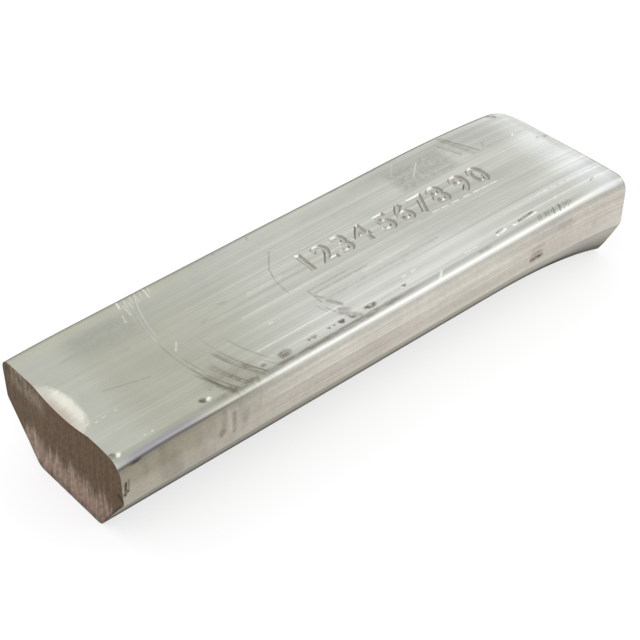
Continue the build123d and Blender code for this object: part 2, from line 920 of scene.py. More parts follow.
@dataclass(frozen=True)
class Stroke:
    """A straight mark on one face, or a round spot where it has no end of its own."""

    kind: MarkKind
    start: Point
    end: Point
    width: float
    strength: float

    def reaches(self, near: float, far: float) -> bool:
        """Says whether the stroke is on a stretch of the bar."""
        low, high = sorted((self.start[0], self.end[0]))
        return low - self.width < far and high + self.width > near

    @staticmethod
    @cache
    def stencil() -> bpy.types.NodeTree:
        """Makes the node group that draws one stroke.

        Returns:
            The group.
        """
        stencil = Stencil("stroke_mark", ("Place", "Start", "Run"), ("Width", "Strength"))
        graph, port = stencil.graph, stencil.ports
        reach = graph.vector("SUBTRACT", port["Place"], port["Start"])
        square = graph.vector("DOT_PRODUCT", port["Run"], port["Run"], output="Value")
        along = graph.vector("DOT_PRODUCT", reach, port["Run"], output="Value")
        along = graph.math("DIVIDE", along, graph.math("MAXIMUM", square, 1e-6), clamp=True)
        miss = graph.vector("SUBTRACT", reach, graph.vector("SCALE", port["Run"], along))
        miss = graph.math("DIVIDE", graph.vector("LENGTH", miss, output="Value"), port["Width"])
        return stencil.close(graph.product(MARK_SIDE.read(graph, miss), port["Strength"]))

    @classmethod
    def draw(cls, graph: Graph, flat: Socket, strokes: Sequence["Stroke"],
             ) -> dict[MarkKind, object]:
        """Draws strokes on one face.

        Args:
            graph: The finish's node tree.
            flat: Where on the face a point is.
            strokes: The strokes.

        Returns:
            One mask for each kind of mark, or 0 where there is none.
        """
        masks: dict[MarkKind, object] = {kind: 0.0 for kind in MarkKind}
        for stroke in strokes:
            run = Vector(stroke.end) - Vector(stroke.start)
            values = (flat, (*stroke.start, 0.0), (*run, 0.0), stroke.width, stroke.strength)
            mask = graph.stamp(cls.stencil(), values)
            masks[stroke.kind] = graph.math("MAXIMUM", masks[stroke.kind], mask)
        return masks


@dataclass(frozen=True)
class Sweep:
    """A mark that swings round the pivot of the scuffs, between two places across the bar."""

    kind: MarkKind
    radius: float
    from_y: float
    to_y: float
    width: float
    strength: float

    def reaches(self, near: float, far: float, pivot: Point) -> bool:
        """Says whether the sweep is on a stretch of the bar.

        Args:
            near: Where the stretch starts.
            far: Where it ends.
            pivot: The point that sweeps swing round.

        Returns:
            True if it is.
        """
        farthest = max(abs(self.from_y - pivot[1]), abs(self.to_y - pivot[1])) + 1
        low = pivot[0] - self.radius
        high = pivot[0] - math.sqrt(max(0.0, self.radius**2 - farthest**2))
        return low - self.width < far and high + self.width > near

    @staticmethod
    @cache
    def stencil() -> bpy.types.NodeTree:
        """Makes the node group that draws one sweep.

        Returns:
            The group.
        """
        stencil = Stencil("sweep_mark", (), ("Reach", "Across", "Radius", "From", "To", "Width", "Strength"))
        graph, port = stencil.graph, stencil.ports
        miss = graph.math("ABSOLUTE", graph.math("SUBTRACT", port["Reach"], port["Radius"]))
        line = MARK_SIDE.read(graph, graph.math("DIVIDE", miss, port["Width"]))
        rise = SWEEP_END.read(graph, graph.math("SUBTRACT", port["Across"], port["From"]))
        fall = SWEEP_END.read(graph, graph.math("SUBTRACT", port["To"], port["Across"]))
        return stencil.close(graph.product(line, rise, fall, port["Strength"]))

    @classmethod
    def draw(cls, graph: Graph, reach: Socket, across: Socket,
             sweeps: Sequence["Sweep"]) -> dict[MarkKind, object]:
        """Draws sweeps on the top.

        Args:
            graph: The finish's node tree.
            reach: How far from the pivot a point is.
            across: Its place across the bar.
            sweeps: The sweeps.

        Returns:
            One mask for each kind of mark, or 0 where there is none.
        """
        masks: dict[MarkKind, object] = {kind: 0.0 for kind in MarkKind}
        for sweep in sweeps:
            values = (reach, across, sweep.radius, sweep.from_y, sweep.to_y, sweep.width, sweep.strength)
            mask = graph.stamp(cls.stencil(), values)
            masks[sweep.kind] = graph.math("MAXIMUM", masks[sweep.kind], mask)
        return masks


@dataclass(frozen=True)
class Wobble:
    """A small unevenness that comes and goes along a row."""

    size: float
    pace: float

    def at(self, index: int) -> float:
        """Gives the unevenness at one place in the row."""
        return self.size * math.sin(self.pace * index)


@dataclass(frozen=True)
class TopMarks:
    """The scuffs, stains and scratches on the top, each where the bar got it."""

    brushed: Grain = Grain((3.4, 1.6, 1.0), 4.0, 0.7, Fade(0.4, 0.62, 0.1, 1.0))
    patchy: Grain = Grain((1.1, 1.1, 1.0), 4.0, 0.65, Fade(0.36, 0.62, 0.45, 1.0))
    drawn_out: Grain = Grain((0.35, 1.6, 1.0), 4.0, 0.65, Fade(0.36, 0.62, 0.2, 1.0))
    grime_band: Zone = Zone(along=Fade.band(-34, 4, 10), across=Fade.band(-14.5, -13.6, 0.9), strength=0.6)
    grey_patch: Zone = Zone(along=Fade.band(21.5, 34, 2.4), across=Fade.band(5.4, 11.6, 1.4), strength=0.4)

    # Dashes of fresh metal: the start and end of each row, how many there are, and their share of the pitch
    dash_rows: tuple[tuple[Point, Point, int, float], ...] = (
        ((21.2, -1.5), (36.6, -2.1), 7, 0.62),
        ((38.3, -9.3), (53.2, -9.7), 9, 0.55),
        ((17.8, -12.9), (21.5, -12.9), 2, 0.6),
    )
    dash_wobble: Wobble = Wobble(0.15, 5.0)
    dash_width: float = 0.34
    dash_strength: float = 0.75

    # One row of dark slanted ticks by the edge
    tick_start: Point = (33.6, -14.0)
    tick_count: int = 14
    tick_pitch: float = 0.58
    pitch_wobble: Wobble = Wobble(0.12, 4.1)
    tick_reach: float = 0.4
    reach_wobble: Wobble = Wobble(0.18, 3.3)
    tick_lean: float = 0.8
    tick_width: float = 0.3
    tick_strength: float = 0.75
    strength_wobble: Wobble = Wobble(0.35, 2.4)

    # Sweeps swing round the pivot, and only on the blade end's side of it
    pivot: Point = (-1.6, -0.8)
    behind_pivot: Fade = Fade(0, -1)
    sweeps: tuple[Sweep, ...] = (
        Sweep(MarkKind.GRIME, 32.2, -15, -5, 0.4, 0.65),
        Sweep(MarkKind.GRIME, 32.2, -9, 2, 0.32, 0.3),
        Sweep(MarkKind.GRIME, 31.4, -15, -3, 0.32, 0.42),
        Sweep(MarkKind.GRIME, 32.9, -15, -7, 0.3, 0.5),
        Sweep(MarkKind.GRIME, 32.1, -15, -8, 1.7, 0.85),
        Sweep(MarkKind.GRIME, 27.1, -15, -5, 1.5, 0.85),
        Sweep(MarkKind.GRIME, 26.5, -15, -1, 0.32, 0.25),
        Sweep(MarkKind.GRIME, 30.1, -15, -7, 1.4, 0.65),
        Sweep(MarkKind.GRIME, 29.2, -14, -6, 0.4, 0.3),
        Sweep(MarkKind.GRIME, 23.7, -14, -4, 0.35, 0.35),
        Sweep(MarkKind.GRIME, 24.6, -14.5, -11, 0.35, 0.55),
        Sweep(MarkKind.GRIME, 22.6, -14.5, -11, 0.35, 0.5),
        Sweep(MarkKind.BRIGHT, 31.6, 3, 15, 0.32, 0.42),
        Sweep(MarkKind.BRIGHT, 32.2, 2, 10, 0.25, 0.25),
        Sweep(MarkKind.BRIGHT, 33.0, 5.5, 12, 0.25, 0.35),
        Sweep(MarkKind.SHADE, 31.9, 4, 13, 0.25, 0.3),
    )
    strokes: tuple[Stroke, ...] = (
        # Fine scratches by the far edge, and one by the middle
        Stroke(MarkKind.BRIGHT, (-33.3, 12.6), (-32.9, 14.2), 0.42, 0.65),
        Stroke(MarkKind.BRIGHT, (-32.9, 10.2), (-32.5, 12.8), 0.3, 0.38),
        Stroke(MarkKind.BRIGHT, (-32.2, 11.9), (-31.7, 13.9), 0.3, 0.4),
        Stroke(MarkKind.BRIGHT, (-31.6, 11.2), (-31.3, 13.2), 0.26, 0.3),
        Stroke(MarkKind.BRIGHT, (-30.9, 12.3), (-30.5, 13.9), 0.3, 0.36),
        Stroke(MarkKind.BRIGHT, (-29.9, 11.9), (-29.6, 13.6), 0.26, 0.28),
        Stroke(MarkKind.BRIGHT, (-28.9, 12.9), (-28.5, 14.2), 0.3, 0.34),
        Stroke(MarkKind.BRIGHT, (-28.1, 11.8), (-27.7, 14.1), 0.34, 0.46),
        Stroke(MarkKind.BRIGHT, (-27.3, 12.8), (-26.9, 14.0), 0.3, 0.32),
        Stroke(MarkKind.BRIGHT, (-34.5, 9.3), (-34.0, 10.8), 0.35, 0.4),
        Stroke(MarkKind.BRIGHT, (-32.6, -1.2), (-31.4, 0.3), 0.4, 0.4),
        # Faint marks towards the blade end
        Stroke(MarkKind.GRIME, (-46.5, -1.3), (-39.2, -3.3), 0.3, 0.28),
        Stroke(MarkKind.SHADE, (-47.5, 8.0), (-45.0, 8.2), 0.4, 0.25),
        Stroke(MarkKind.SHADE, (-44.0, 10.8), (-43.6, 10.8), 1.0, 0.22),
        Stroke(MarkKind.SHADE, (-41.0, 10.7), (-40.6, 10.7), 1.0, 0.22),
        Stroke(MarkKind.SHADE, (-38.3, 3.8), (-38.1, 3.8), 0.9, 0.15),
        Stroke(MarkKind.SHADE, (-34.0, -11.5), (-33.9, -11.5), 0.5, 0.4),
        # Smears between the sweeps and the digits, and a thin curved scratch
        Stroke(MarkKind.GRIME, (-20.8, -12.7), (-19.8, -12.5), 1.6, 0.85),
        Stroke(MarkKind.GRIME, (-24.6, -12.6), (-24.3, -12.6), 0.8, 0.6),
        Stroke(MarkKind.SHADE, (-20.8, 3.3), (-19.6, 3.0), 0.6, 0.3),
        Stroke(MarkKind.SHADE, (-10.6, -2.0), (-10.3, 1.8), 0.3, 0.45),
        Stroke(MarkKind.SHADE, (-10.3, 1.8), (-9.2, 4.8), 0.3, 0.5),
        Stroke(MarkKind.SHADE, (-9.2, 4.8), (-6.4, 8.3), 0.3, 0.5),
        # A painted glint in the small dent here
        Stroke(MarkKind.BRIGHT, (-17.5, -5.6), (-17.1, -5.7), 0.4, 0.7),
        Stroke(MarkKind.SHADE, (-25.4, 1.4), (-24.6, 1.5), 0.5, 0.25),
        # Long bright lines along the bar
        Stroke(MarkKind.BRIGHT, (-23.0, -9.5), (-6.5, -9.5), 0.32, 0.5),
        Stroke(MarkKind.BRIGHT, (-20.0, -1.9), (-3.0, -1.9), 0.35, 0.3),
        Stroke(MarkKind.BRIGHT, (-3.0, -1.9), (18.0, -1.7), 0.3, 0.22),
        Stroke(MarkKind.BRIGHT, (-15.5, 2.2), (-9.0, 2.2), 1.0, 0.22),
        Stroke(MarkKind.BRIGHT, (2.0, -5.5), (12.0, -5.4), 0.4, 0.35),
        # Scuffed patch on the -Y side of the first digits
        Stroke(MarkKind.SHADE, (-8.0, -3.5), (-8.0, -7.0), 0.35, 0.5),
        Stroke(MarkKind.SHADE, (-8.0, -3.5), (0.0, -3.6), 0.3, 0.35),
        Stroke(MarkKind.SHADE, (-7.5, -4.7), (3.4, -4.7), 0.45, 0.4),
        Stroke(MarkKind.SHADE, (-6.5, -6.9), (17.0, -6.9), 0.7, 0.25),
        Stroke(MarkKind.SHADE, (-2.0, -7.9), (9.0, -7.9), 0.4, 0.25),
        Stroke(MarkKind.SHADE, (-7.8, -5.2), (-7.0, -6.5), 0.5, 0.55),
        Stroke(MarkKind.SHADE, (-7.0, -7.4), (-6.0, -9.3), 0.9, 0.65),
        Stroke(MarkKind.SHADE, (-8.4, -8.6), (-7.9, -10.0), 0.5, 0.5),
        Stroke(MarkKind.SHADE, (-9.2, -7.2), (-8.8, -9.4), 0.4, 0.3),
        Stroke(MarkKind.SHADE, (-7.0, -10.0), (-5.8, -11.0), 0.8, 0.45),
        Stroke(MarkKind.GRIME, (-7.2, -11.0), (-5.6, -13.4), 1.4, 0.45),
        # Painted shadow and painted glints in the pits towards the blade end
        Stroke(MarkKind.GRIME, (-53.6, -13.2), (-53.1, -13.3), 0.9, 0.95),
        Stroke(MarkKind.BRIGHT, (-52.6, -13.7), (-52.3, -13.5), 0.6, 1.2),
        Stroke(MarkKind.BRIGHT, (-51.1, -6.1), (-50.9, -6.1), 0.3, 0.7),
        Stroke(MarkKind.BRIGHT, (-49.9, -6.0), (-49.3, -5.9), 0.22, 0.4),
        Stroke(MarkKind.BRIGHT, (-47.4, -5.9), (-47.3, -5.8), 0.32, 0.8),
        Stroke(MarkKind.BRIGHT, (-47.2, -12.9), (-47.1, -12.8), 0.28, 0.6),
        Stroke(MarkKind.BRIGHT, (-45.9, -13.0), (-45.7, -12.9), 0.3, 0.7),
        Stroke(MarkKind.GRIME, (-36.5, -12.6), (-36.1, -12.7), 0.9, 0.95),
        Stroke(MarkKind.BRIGHT, (-35.5, -13.1), (-35.2, -12.9), 0.7, 1.3),
        # Broad shade, and dirt where the sweeps meet the edge
        Stroke(MarkKind.SHADE, (-42.0, 9.5), (-36.5, 9.0), 7.0, 0.2),
        Stroke(MarkKind.GRIME, (-32.5, -11.8), (-32.2, -12.6), 1.0, 0.7),
        Stroke(MarkKind.GRIME, (-31.6, -13.2), (-31.2, -13.9), 1.5, 0.7),
        Stroke(MarkKind.GRIME, (-29.6, -11.4), (-29.2, -12.6), 1.1, 0.7),
        Stroke(MarkKind.GRIME, (-28.8, -13.6), (-27.0, -14.2), 1.1, 0.6),
        Stroke(MarkKind.GRIME, (-26.8, -10.6), (-26.2, -13.0), 1.2, 0.6),
        Stroke(MarkKind.GRIME, (-31.2, -10.5), (-27.8, -12.3), 5.0, 0.3),
        # Painted shadow in the row of pits along the -Y edge
        Stroke(MarkKind.GRIME, (-15.6, -12.5), (-15.2, -12.5), 0.5, 0.7),
        Stroke(MarkKind.GRIME, (-14.6, -12.5), (-14.0, -12.5), 0.6, 0.8),
        Stroke(MarkKind.GRIME, (-11.4, -12.5), (-11.1, -12.5), 0.45, 0.65),
        Stroke(MarkKind.GRIME, (-10.3, -12.5), (-10.0, -12.5), 0.4, 0.6),
        Stroke(MarkKind.GRIME, (-9.0, -12.5), (-8.3, -12.5), 0.7, 0.85),
        Stroke(MarkKind.GRIME, (-6.8, -12.5), (-5.9, -12.6), 0.9, 0.85),
        Stroke(MarkKind.GRIME, (-3.7, -12.6), (-1.8, -12.6), 0.75, 0.85),
        Stroke(MarkKind.SHADE, (-1.4, -12.6), (3.8, -12.5), 0.3, 0.4),
        Stroke(MarkKind.GRIME, (4.4, -12.4), (4.9, -12.4), 0.5, 0.7),
        # Two long nicks, each with painted shade on one wall and a painted highlight on the other
        Stroke(MarkKind.SHADE, (25.4, -12.35), (27.0, -12.2), 0.3, 0.7),
        Stroke(MarkKind.SHADE, (30.6, -12.38), (34.0, -12.13), 0.4, 0.95),
        Stroke(MarkKind.BRIGHT, (25.1, -12.95), (27.3, -12.65), 0.5, 1.7),
        Stroke(MarkKind.BRIGHT, (29.0, -12.78), (34.4, -12.68), 0.4, 1.5),
        # Small glints
        Stroke(MarkKind.BRIGHT, (5.9, -10.7), (6.6, -10.7), 0.4, 0.7),
        Stroke(MarkKind.BRIGHT, (7.9, -10.7), (8.6, -10.6), 0.45, 0.8),
        Stroke(MarkKind.BRIGHT, (10.5, -14.7), (11.8, -13.7), 0.45, 0.8),
        # Marks along the far edge, and round the grey patch
        Stroke(MarkKind.SHADE, (-13.8, 13.6), (-13.6, 14.2), 0.5, 0.35),
        Stroke(MarkKind.SHADE, (-7.1, 13.2), (-6.8, 13.7), 0.5, 0.35),
        Stroke(MarkKind.SHADE, (11.6, 14.2), (12.9, 14.2), 0.8, 0.35),
        Stroke(MarkKind.SHADE, (23.5, 7.3), (32.5, 7.0), 2.2, 0.3),
        Stroke(MarkKind.BRIGHT, (25.5, 8.0), (28.5, 10.7), 0.3, 0.45),
        Stroke(MarkKind.BRIGHT, (22.5, 10.5), (25.0, 13.2), 0.25, 0.2),
        # Rubbed patch past the last digit
        Stroke(MarkKind.GRIME, (36.7, 13.3), (37.5, 10.6), 1.3, 0.36),
        Stroke(MarkKind.GRIME, (37.3, 11.0), (38.5, 7.4), 1.5, 0.26),
        Stroke(MarkKind.SHADE, (34.8, 11.8), (36.4, 7.7), 0.42, 0.5),
        Stroke(MarkKind.SHADE, (35.3, 11.4), (36.6, 8.4), 1.1, 0.2),
        Stroke(MarkKind.GRIME, (36.4, 12.6), (38.2, 7.6), 0.35, 0.45),
        Stroke(MarkKind.GRIME, (37.4, 12.4), (39.8, 6.8), 0.38, 0.55),
        Stroke(MarkKind.GRIME, (36.4, 13.7), (36.9, 12.4), 0.7, 0.45),
        Stroke(MarkKind.SHADE, (41.3, 7.1), (41.9, 8.1), 0.36, 0.5),
        # Marks on the rolled end
        Stroke(MarkKind.SHADE, (38.0, 6.5), (52.0, 6.6), 0.35, 0.4),
        Stroke(MarkKind.BRIGHT, (48.0, 6.5), (48.5, 6.8), 0.36, 0.7),
        Stroke(MarkKind.GRIME, (49.3, 13.7), (50.2, 13.1), 0.9, 0.8),
        Stroke(MarkKind.SHADE, (51.2, 3.2), (51.5, 3.5), 0.6, 0.5),
        Stroke(MarkKind.SHADE, (52.8, 3.0), (53.2, 3.0), 0.7, 0.75),
        # Marks on the -Y side of the rolled half
        Stroke(MarkKind.GRIME, (20.0, -14.2), (22.2, -14.2), 0.6, 0.32),
        Stroke(MarkKind.BRIGHT, (30.0, -9.5), (38.5, -9.4), 0.3, 0.4),
        Stroke(MarkKind.BRIGHT, (39.7, -11.9), (40.2, -11.5), 0.4, 0.6),
        Stroke(MarkKind.SHADE, (48.2, -12.1), (49.3, -11.7), 0.4, 0.5),
    )

    def on_stretch(self, near: float, far: float) -> "TopMarks":
        """Keeps only the marks on a stretch of the bar, so that its finish stays small.

        Args:
            near: Where the stretch starts.
            far: Where it ends.

        Returns:
            The marks there, with the rows of dashes among the strokes.
        """
        strokes = tuple(s for s in (*self.strokes, *self.dashes()) if s.reaches(near, far))
        sweeps = tuple(s for s in self.sweeps if s.reaches(near, far, self.pivot))
        return replace(self, strokes=strokes, sweeps=sweeps)

    def dashes(self) -> list[Stroke]:
        """Sets out the rows of short dashes and the row of slanted ticks, all a little uneven.

        Returns:
            Their strokes.
        """
        rows = []
        for start, end, count, share in self.dash_rows:
            run = Vector(end) - Vector(start)
            for index in range(count):
                first = Vector(start) + run * ((index + self.dash_wobble.at(index)) / count)
                last = first + run * (share / count)
                rows.append(
                    Stroke(MarkKind.BRIGHT, tuple(first), tuple(last), self.dash_width, self.dash_strength),
                )
        start_x, y = self.tick_start
        for index in range(self.tick_count):
            x = start_x + self.tick_pitch * index + self.pitch_wobble.at(index)
            dark = self.tick_strength + self.strength_wobble.at(index)
            reach = self.tick_reach + self.reach_wobble.at(index)
            start, end = (x, y - reach), (x + self.tick_lean * reach, y + reach)
            rows.append(Stroke(MarkKind.SHADE, start, end, self.tick_width, dark))
        return rows

    def masks(self, graph: Graph, place: Socket) -> dict[MarkKind, Socket]:
        """Draws every mark.

        Args:
            graph: The finish's node tree.
            place: Where on the straight stock a point is.

        Returns:
            One mask for each kind of mark.
        """
        flat = graph.vector("MULTIPLY", place, (1, 1, 0))
        _, y, _ = graph.split(flat)
        arm = graph.vector("SUBTRACT", flat, (*self.pivot, 0))
        reach = graph.vector("LENGTH", arm, output="Value")
        arm_x, arm_y, _ = graph.split(arm)
        swing = graph.math("DIVIDE", arm_y, graph.math("MAXIMUM", graph.math("ABSOLUTE", arm_x), 1.0))
        brushed = self.brushed.read(graph, graph.join(reach, swing))
        swept = graph.product(self.behind_pivot.read(graph, arm_x), brushed)
        patchy = self.patchy.read(graph, flat)

        masks = Sweep.draw(graph, reach, y, self.sweeps)
        for kind, mask in Stroke.draw(graph, flat, self.strokes).items():
            sweep_mask = graph.product(masks[kind], swept)
            masks[kind] = graph.math("MAXIMUM", sweep_mask, graph.product(mask, patchy))
        band = graph.product(self.grime_band.mask(graph, place), self.drawn_out.read(graph, flat))
        masks[MarkKind.GRIME] = graph.math("MAXIMUM", masks[MarkKind.GRIME], band)
        patch = graph.product(self.grey_patch.mask(graph, place), patchy)
        masks[MarkKind.SHADE] = graph.math("MAXIMUM", masks[MarkKind.SHADE], patch)
        return masks


@dataclass(frozen=True)
class FlankMarks:
    """Stains and rubbed places on the flank that faces -Y, each at its place along and up the bar."""

    cloudy: Grain = Grain((0.8, 0.8, 0.8), 4.0, 0.65, Fade(0.36, 0.62, 0.4, 1.0))
    strokes: tuple[Stroke, ...] = (
        Stroke(MarkKind.GRIME, (-53.3, 12.3), (-53.0, 14.8), 0.5, 1.7),
        Stroke(MarkKind.GRIME, (-53.4, 12.6), (-52.8, 12.9), 0.7, 1.7),
        Stroke(MarkKind.GRIME, (-52.6, 13.2), (-52.4, 15.2), 0.35, 0.6),
        Stroke(MarkKind.GRIME, (-35.3, 13.0), (-34.9, 13.5), 1.3, 0.55),
        Stroke(MarkKind.GRIME, (-34.7, 14.5), (-34.4, 17.0), 1.0, 0.3),
        Stroke(MarkKind.BRIGHT, (-33.5, 13.0), (-33.6, 16.9), 0.7, 0.16),
        Stroke(MarkKind.GRIME, (-32.8, 12.4), (-32.6, 15.8), 0.8, 0.42),
        Stroke(MarkKind.SHADE, (-30.8, 12.4), (-30.4, 15.0), 1.2, 0.4),
        Stroke(MarkKind.SHADE, (-27.8, 14.0), (-27.2, 17.2), 0.6, 0.2),
        Stroke(MarkKind.SHADE, (25.0, 15.4), (25.0, 17.2), 1.2, 0.15),
        Stroke(MarkKind.SHADE, (24.0, 16.0), (36.0, 15.7), 3.0, 0.16),
        Stroke(MarkKind.BRIGHT, (-25.0, 14.55), (9.0, 14.35), 0.3, 0.35),
        Stroke(MarkKind.GRIME, (30.9, 11.9), (33.3, 11.9), 0.9, 1.0),
        Stroke(MarkKind.GRIME, (31.4, 12.7), (33.3, 12.7), 1.0, 0.65),
        Stroke(MarkKind.SHADE, (31.2, 14.0), (33.8, 14.0), 0.8, 0.4),
        Stroke(MarkKind.SHADE, (37.8, 15.6), (40.2, 15.4), 2.2, 0.35),
        Stroke(MarkKind.SHADE, (46.2, 12.7), (46.4, 12.7), 1.0, 0.28),
    )

    def on_stretch(self, near: float, far: float) -> list[Stroke]:
        """Keeps only the strokes on a stretch of the bar."""
        return [stroke for stroke in self.strokes if stroke.reaches(near, far)]


@dataclass(frozen=True)
class HalfMoon:
    """The half-moon that the blade pressed into the top edge, with a painted highlight on its ragged rim and
    a paler painted sheen inside.
    """

    middle: Point = (-53.85, -0.1)
    reach: Point = (2.8, 6.7)
    ragged: Grain = Grain((0.3, 2.2, 0.1), 3.0, 0.55, Fade(0.3, 0.7, -0.12, 0.12))
    # Painted highlight along the rim, and a paler painted sheen in the hollow
    rim: Colour = linear(209, 207, 196)
    rim_fade: Fade = Fade(-0.05, 0.22, 0.0, 0.9)
    hollow: Colour = linear(193, 186, 170)
    hollow_fade: Fade = Fade(0.5, 0.95, 0.0, 0.9)

    def lay(self, graph: Graph, place: Socket, colour: object) -> Socket:
        """Lays the half-moon's painted highlight and painted sheen.

        Args:
            graph: The node tree.
            place: Where on the straight stock a point is.
            colour: The colour round it.

        Returns:
            The colour with the half-moon.
        """
        depth = graph.math("ADD", 1.0, self.ragged.read(graph, place))
        for value, middle, reach in zip(graph.split(place), self.middle, self.reach):
            share = graph.math("DIVIDE", graph.math("SUBTRACT", value, middle), reach)
            depth = graph.math("SUBTRACT", depth, graph.math("POWER", share, 2.0))
        colour = graph.mix(self.rim_fade.read(graph, depth), colour, self.rim)
        return graph.mix(self.hollow_fade.read(graph, depth), colour, self.hollow)


@dataclass(frozen=True)
class TopFinish:
    """The top under its marks: darker and warmer at the blade end, with painted light on the -Y side, a
    painted highlight at the rolled end, painted shade along the far rim, and creamy at the +Y side.
    """

    grey: Colour = linear(177, 178, 164)
    pale_length: Coat = Coat(linear(192, 194, 185), (
        Zone(along=(Fade(-34, -8),)),
        Zone(along=(Fade(-42, -49, 0.0, 0.6),)),
    ))
    # Painted light: the top is lighter towards the -Y side and along the edge above the -Y flank
    lit_side: Coat = Coat(linear(217, 218, 213), (
        Zone(along=(Fade(-32, 4), Fade(32, 14, 0.3, 0.75)), across=(Fade(0, -12),)),
        Zone(along=(Fade(-40, -18),), across=(Fade(-13.6, -14.6),), strength=0.6),
    ))
    cream_side: Coat = Coat(linear(194, 193, 173), (
        Zone(along=(Fade(-14, -26),), across=(Fade(11.0, 12.4),), strength=0.85),
    ))
    # Painted highlight on the top where the rolled end bends down
    end_highlight: Coat = Coat(linear(216, 218, 217), (
        Zone(along=(Fade(43, 50),), across=(Fade(-12, 4, 1.0, 0.65),)),
    ))
    # Darker patches on the top; the first one is painted shade on the +Y side of the rolled end
    darker_patches: Coat = Coat(linear(176, 178, 171), (
        Zone(along=(Fade(34, 42), Fade(50, 45, 0.5, 0.9)), across=(Fade(3, 9),)),
        Zone(along=(Fade(-8, -20),), across=(Fade(4, 10),), strength=0.4),
        Zone(along=(Fade(6, 26),), across=(Fade(10.5, 12.5),), strength=0.8),
        Zone(along=(Fade(10, 20), Fade(46, 38)), across=Fade.band(-7, 3, 3), strength=0.4),
    ))
    half_moon: HalfMoon = HalfMoon()
    end_rim: Coat = Coat(linear(183, 184, 180), (
        Zone(along=(Fade(51.2, 52.6),), across=(Fade(-4, 3, 0.4, 1.0),)),
        Zone(along=(Fade(53.1, 53.6),)),
    ))
    # Painted shade along the rounded +Y edge of the top
    far_rim: Coat = Coat(linear(128, 129, 117), (
        Zone(across=(Fade(13.3, 15.3, 0.0, 0.95),)),
    ))

    def colour(self, graph: Graph, place: Socket) -> Socket:
        """Lays the top's coats in order.

        Args:
            graph: The node tree.
            place: Where on the straight stock a point is.

        Returns:
            The colour.
        """
        colour = self.grey
        for coat in (self.pale_length, self.lit_side, self.cream_side, self.end_highlight, self.darker_patches,
                     self.half_moon, self.end_rim, self.far_rim):
            colour = coat.lay(graph, place, colour)
        return colour


@dataclass(frozen=True)
class SideFinish:
    """The flanks and tapers under their marks: bands along the bar, partly painted light and shade, and
    smudges at the blade end.
    """

    # Painted light: the flank is darker near the blade end and lighter along the rest of the bar
    grey: Colour = linear(154, 148, 131)
    pale_length: Coat = Coat(linear(202, 198, 188), (
        Zone(along=(Fade(-46, -12),)),
    ))
    warm_grey: Colour = linear(188, 181, 170)
    warm_low: Coat = Coat(warm_grey, (
        Zone(along=(Fade(-40, -10, 0.5, 0.9), Fade(36, 50, 1.0, 0.3), Fade(-8, 6, 1.0, 0.6)),
             up=(Fade(15.0, 12.8),)),
    ))
    # Painted shadow high on the flank of the rolled half, in the warm grey
    high_shadow: Coat = Coat(warm_grey, (
        Zone(along=(Fade(24, 34),), up=Fade.band(13, 16.2, 1.5), strength=0.6),
    ))
    smudges: Grain = Grain((0.35, 0.1, 0.1), 4.0, 0.6, Fade(0.4, 0.62))
    smudge_depth: Fade = Fade(-20, -45, 0.03, 0.16)
    mottle: Grain = Grain((1.5, 1.5, 1.5), 4.0, 0.7, Fade(0.3, 0.7, -0.06, 0.06))
    taper_grey: Colour = linear(164, 163, 148)
    taper_shade: Coat = Coat(linear(97, 96, 83), (
        Zone(up=(Fade(7.6, 1.6),)),
    ))
    # Painted light on the taper: darker at the blade end, lighter past the middle, and back down at the
    # rolled end
    taper_light_rise: Fade = Fade(-40, 4, 0.84, 1.28)
    taper_light_fall: Fade = Fade(38, 46, 0.0, -0.28)
    foot_shade: Fade = Fade(3.2, 1.2, 1.0, 0.5)
    on_taper: Zone = Zone(along=(Fade(46, 22, 0.9, 1.0),), up=(Fade(10.4, 9.2),))
    # Painted shade in the crease of the knee, between flank and taper
    knee: Coat = Coat(linear(146, 142, 127), (
        Zone(along=(Fade(10, -35, 0.1, 0.75),), up=Fade.band(8.6, 9.6, 1.0)),
    ))

    def colour(self, graph: Graph, place: Socket) -> Socket:
        """Puts the flank above the taper, with the knee's painted shade between them.

        Args:
            graph: The node tree.
            place: Where on the straight stock a point is.

        Returns:
            The colour.
        """
        side = graph.mix(self.on_taper.mask(graph, place), self.flank(graph, place), self.taper(graph, place))
        return self.knee.lay(graph, place, side)

    def flank(self, graph: Graph, place: Socket) -> Socket:
        """Colours the upright flank.

        Args:
            graph: The node tree.
            place: Where on the straight stock a point is.

        Returns:
            The colour.
        """
        colour = self.grey
        for coat in (self.pale_length, self.warm_low, self.high_shadow):
            colour = coat.lay(graph, place, colour)
        x, _, _ = graph.split(place)
        smudge = graph.product(self.smudge_depth.read(graph, x), self.smudges.read(graph, place))
        shade = graph.math("ADD", graph.math("SUBTRACT", 1.0, smudge), self.mottle.read(graph, place))
        return graph.vector("SCALE", colour, shade)

    def taper(self, graph: Graph, place: Socket) -> Socket:
        """Colours the side that tapers in to the base.

        Args:
            graph: The node tree.
            place: Where on the straight stock a point is.

        Returns:
            The colour.
        """
        x, _, z = graph.split(place)
        colour = self.taper_shade.lay(graph, place, self.taper_grey)
        light = graph.math("ADD", self.taper_light_rise.read(graph, x), self.taper_light_fall.read(graph, x))
        return graph.vector("SCALE", colour, graph.product(light, self.foot_shade.read(graph, z)))


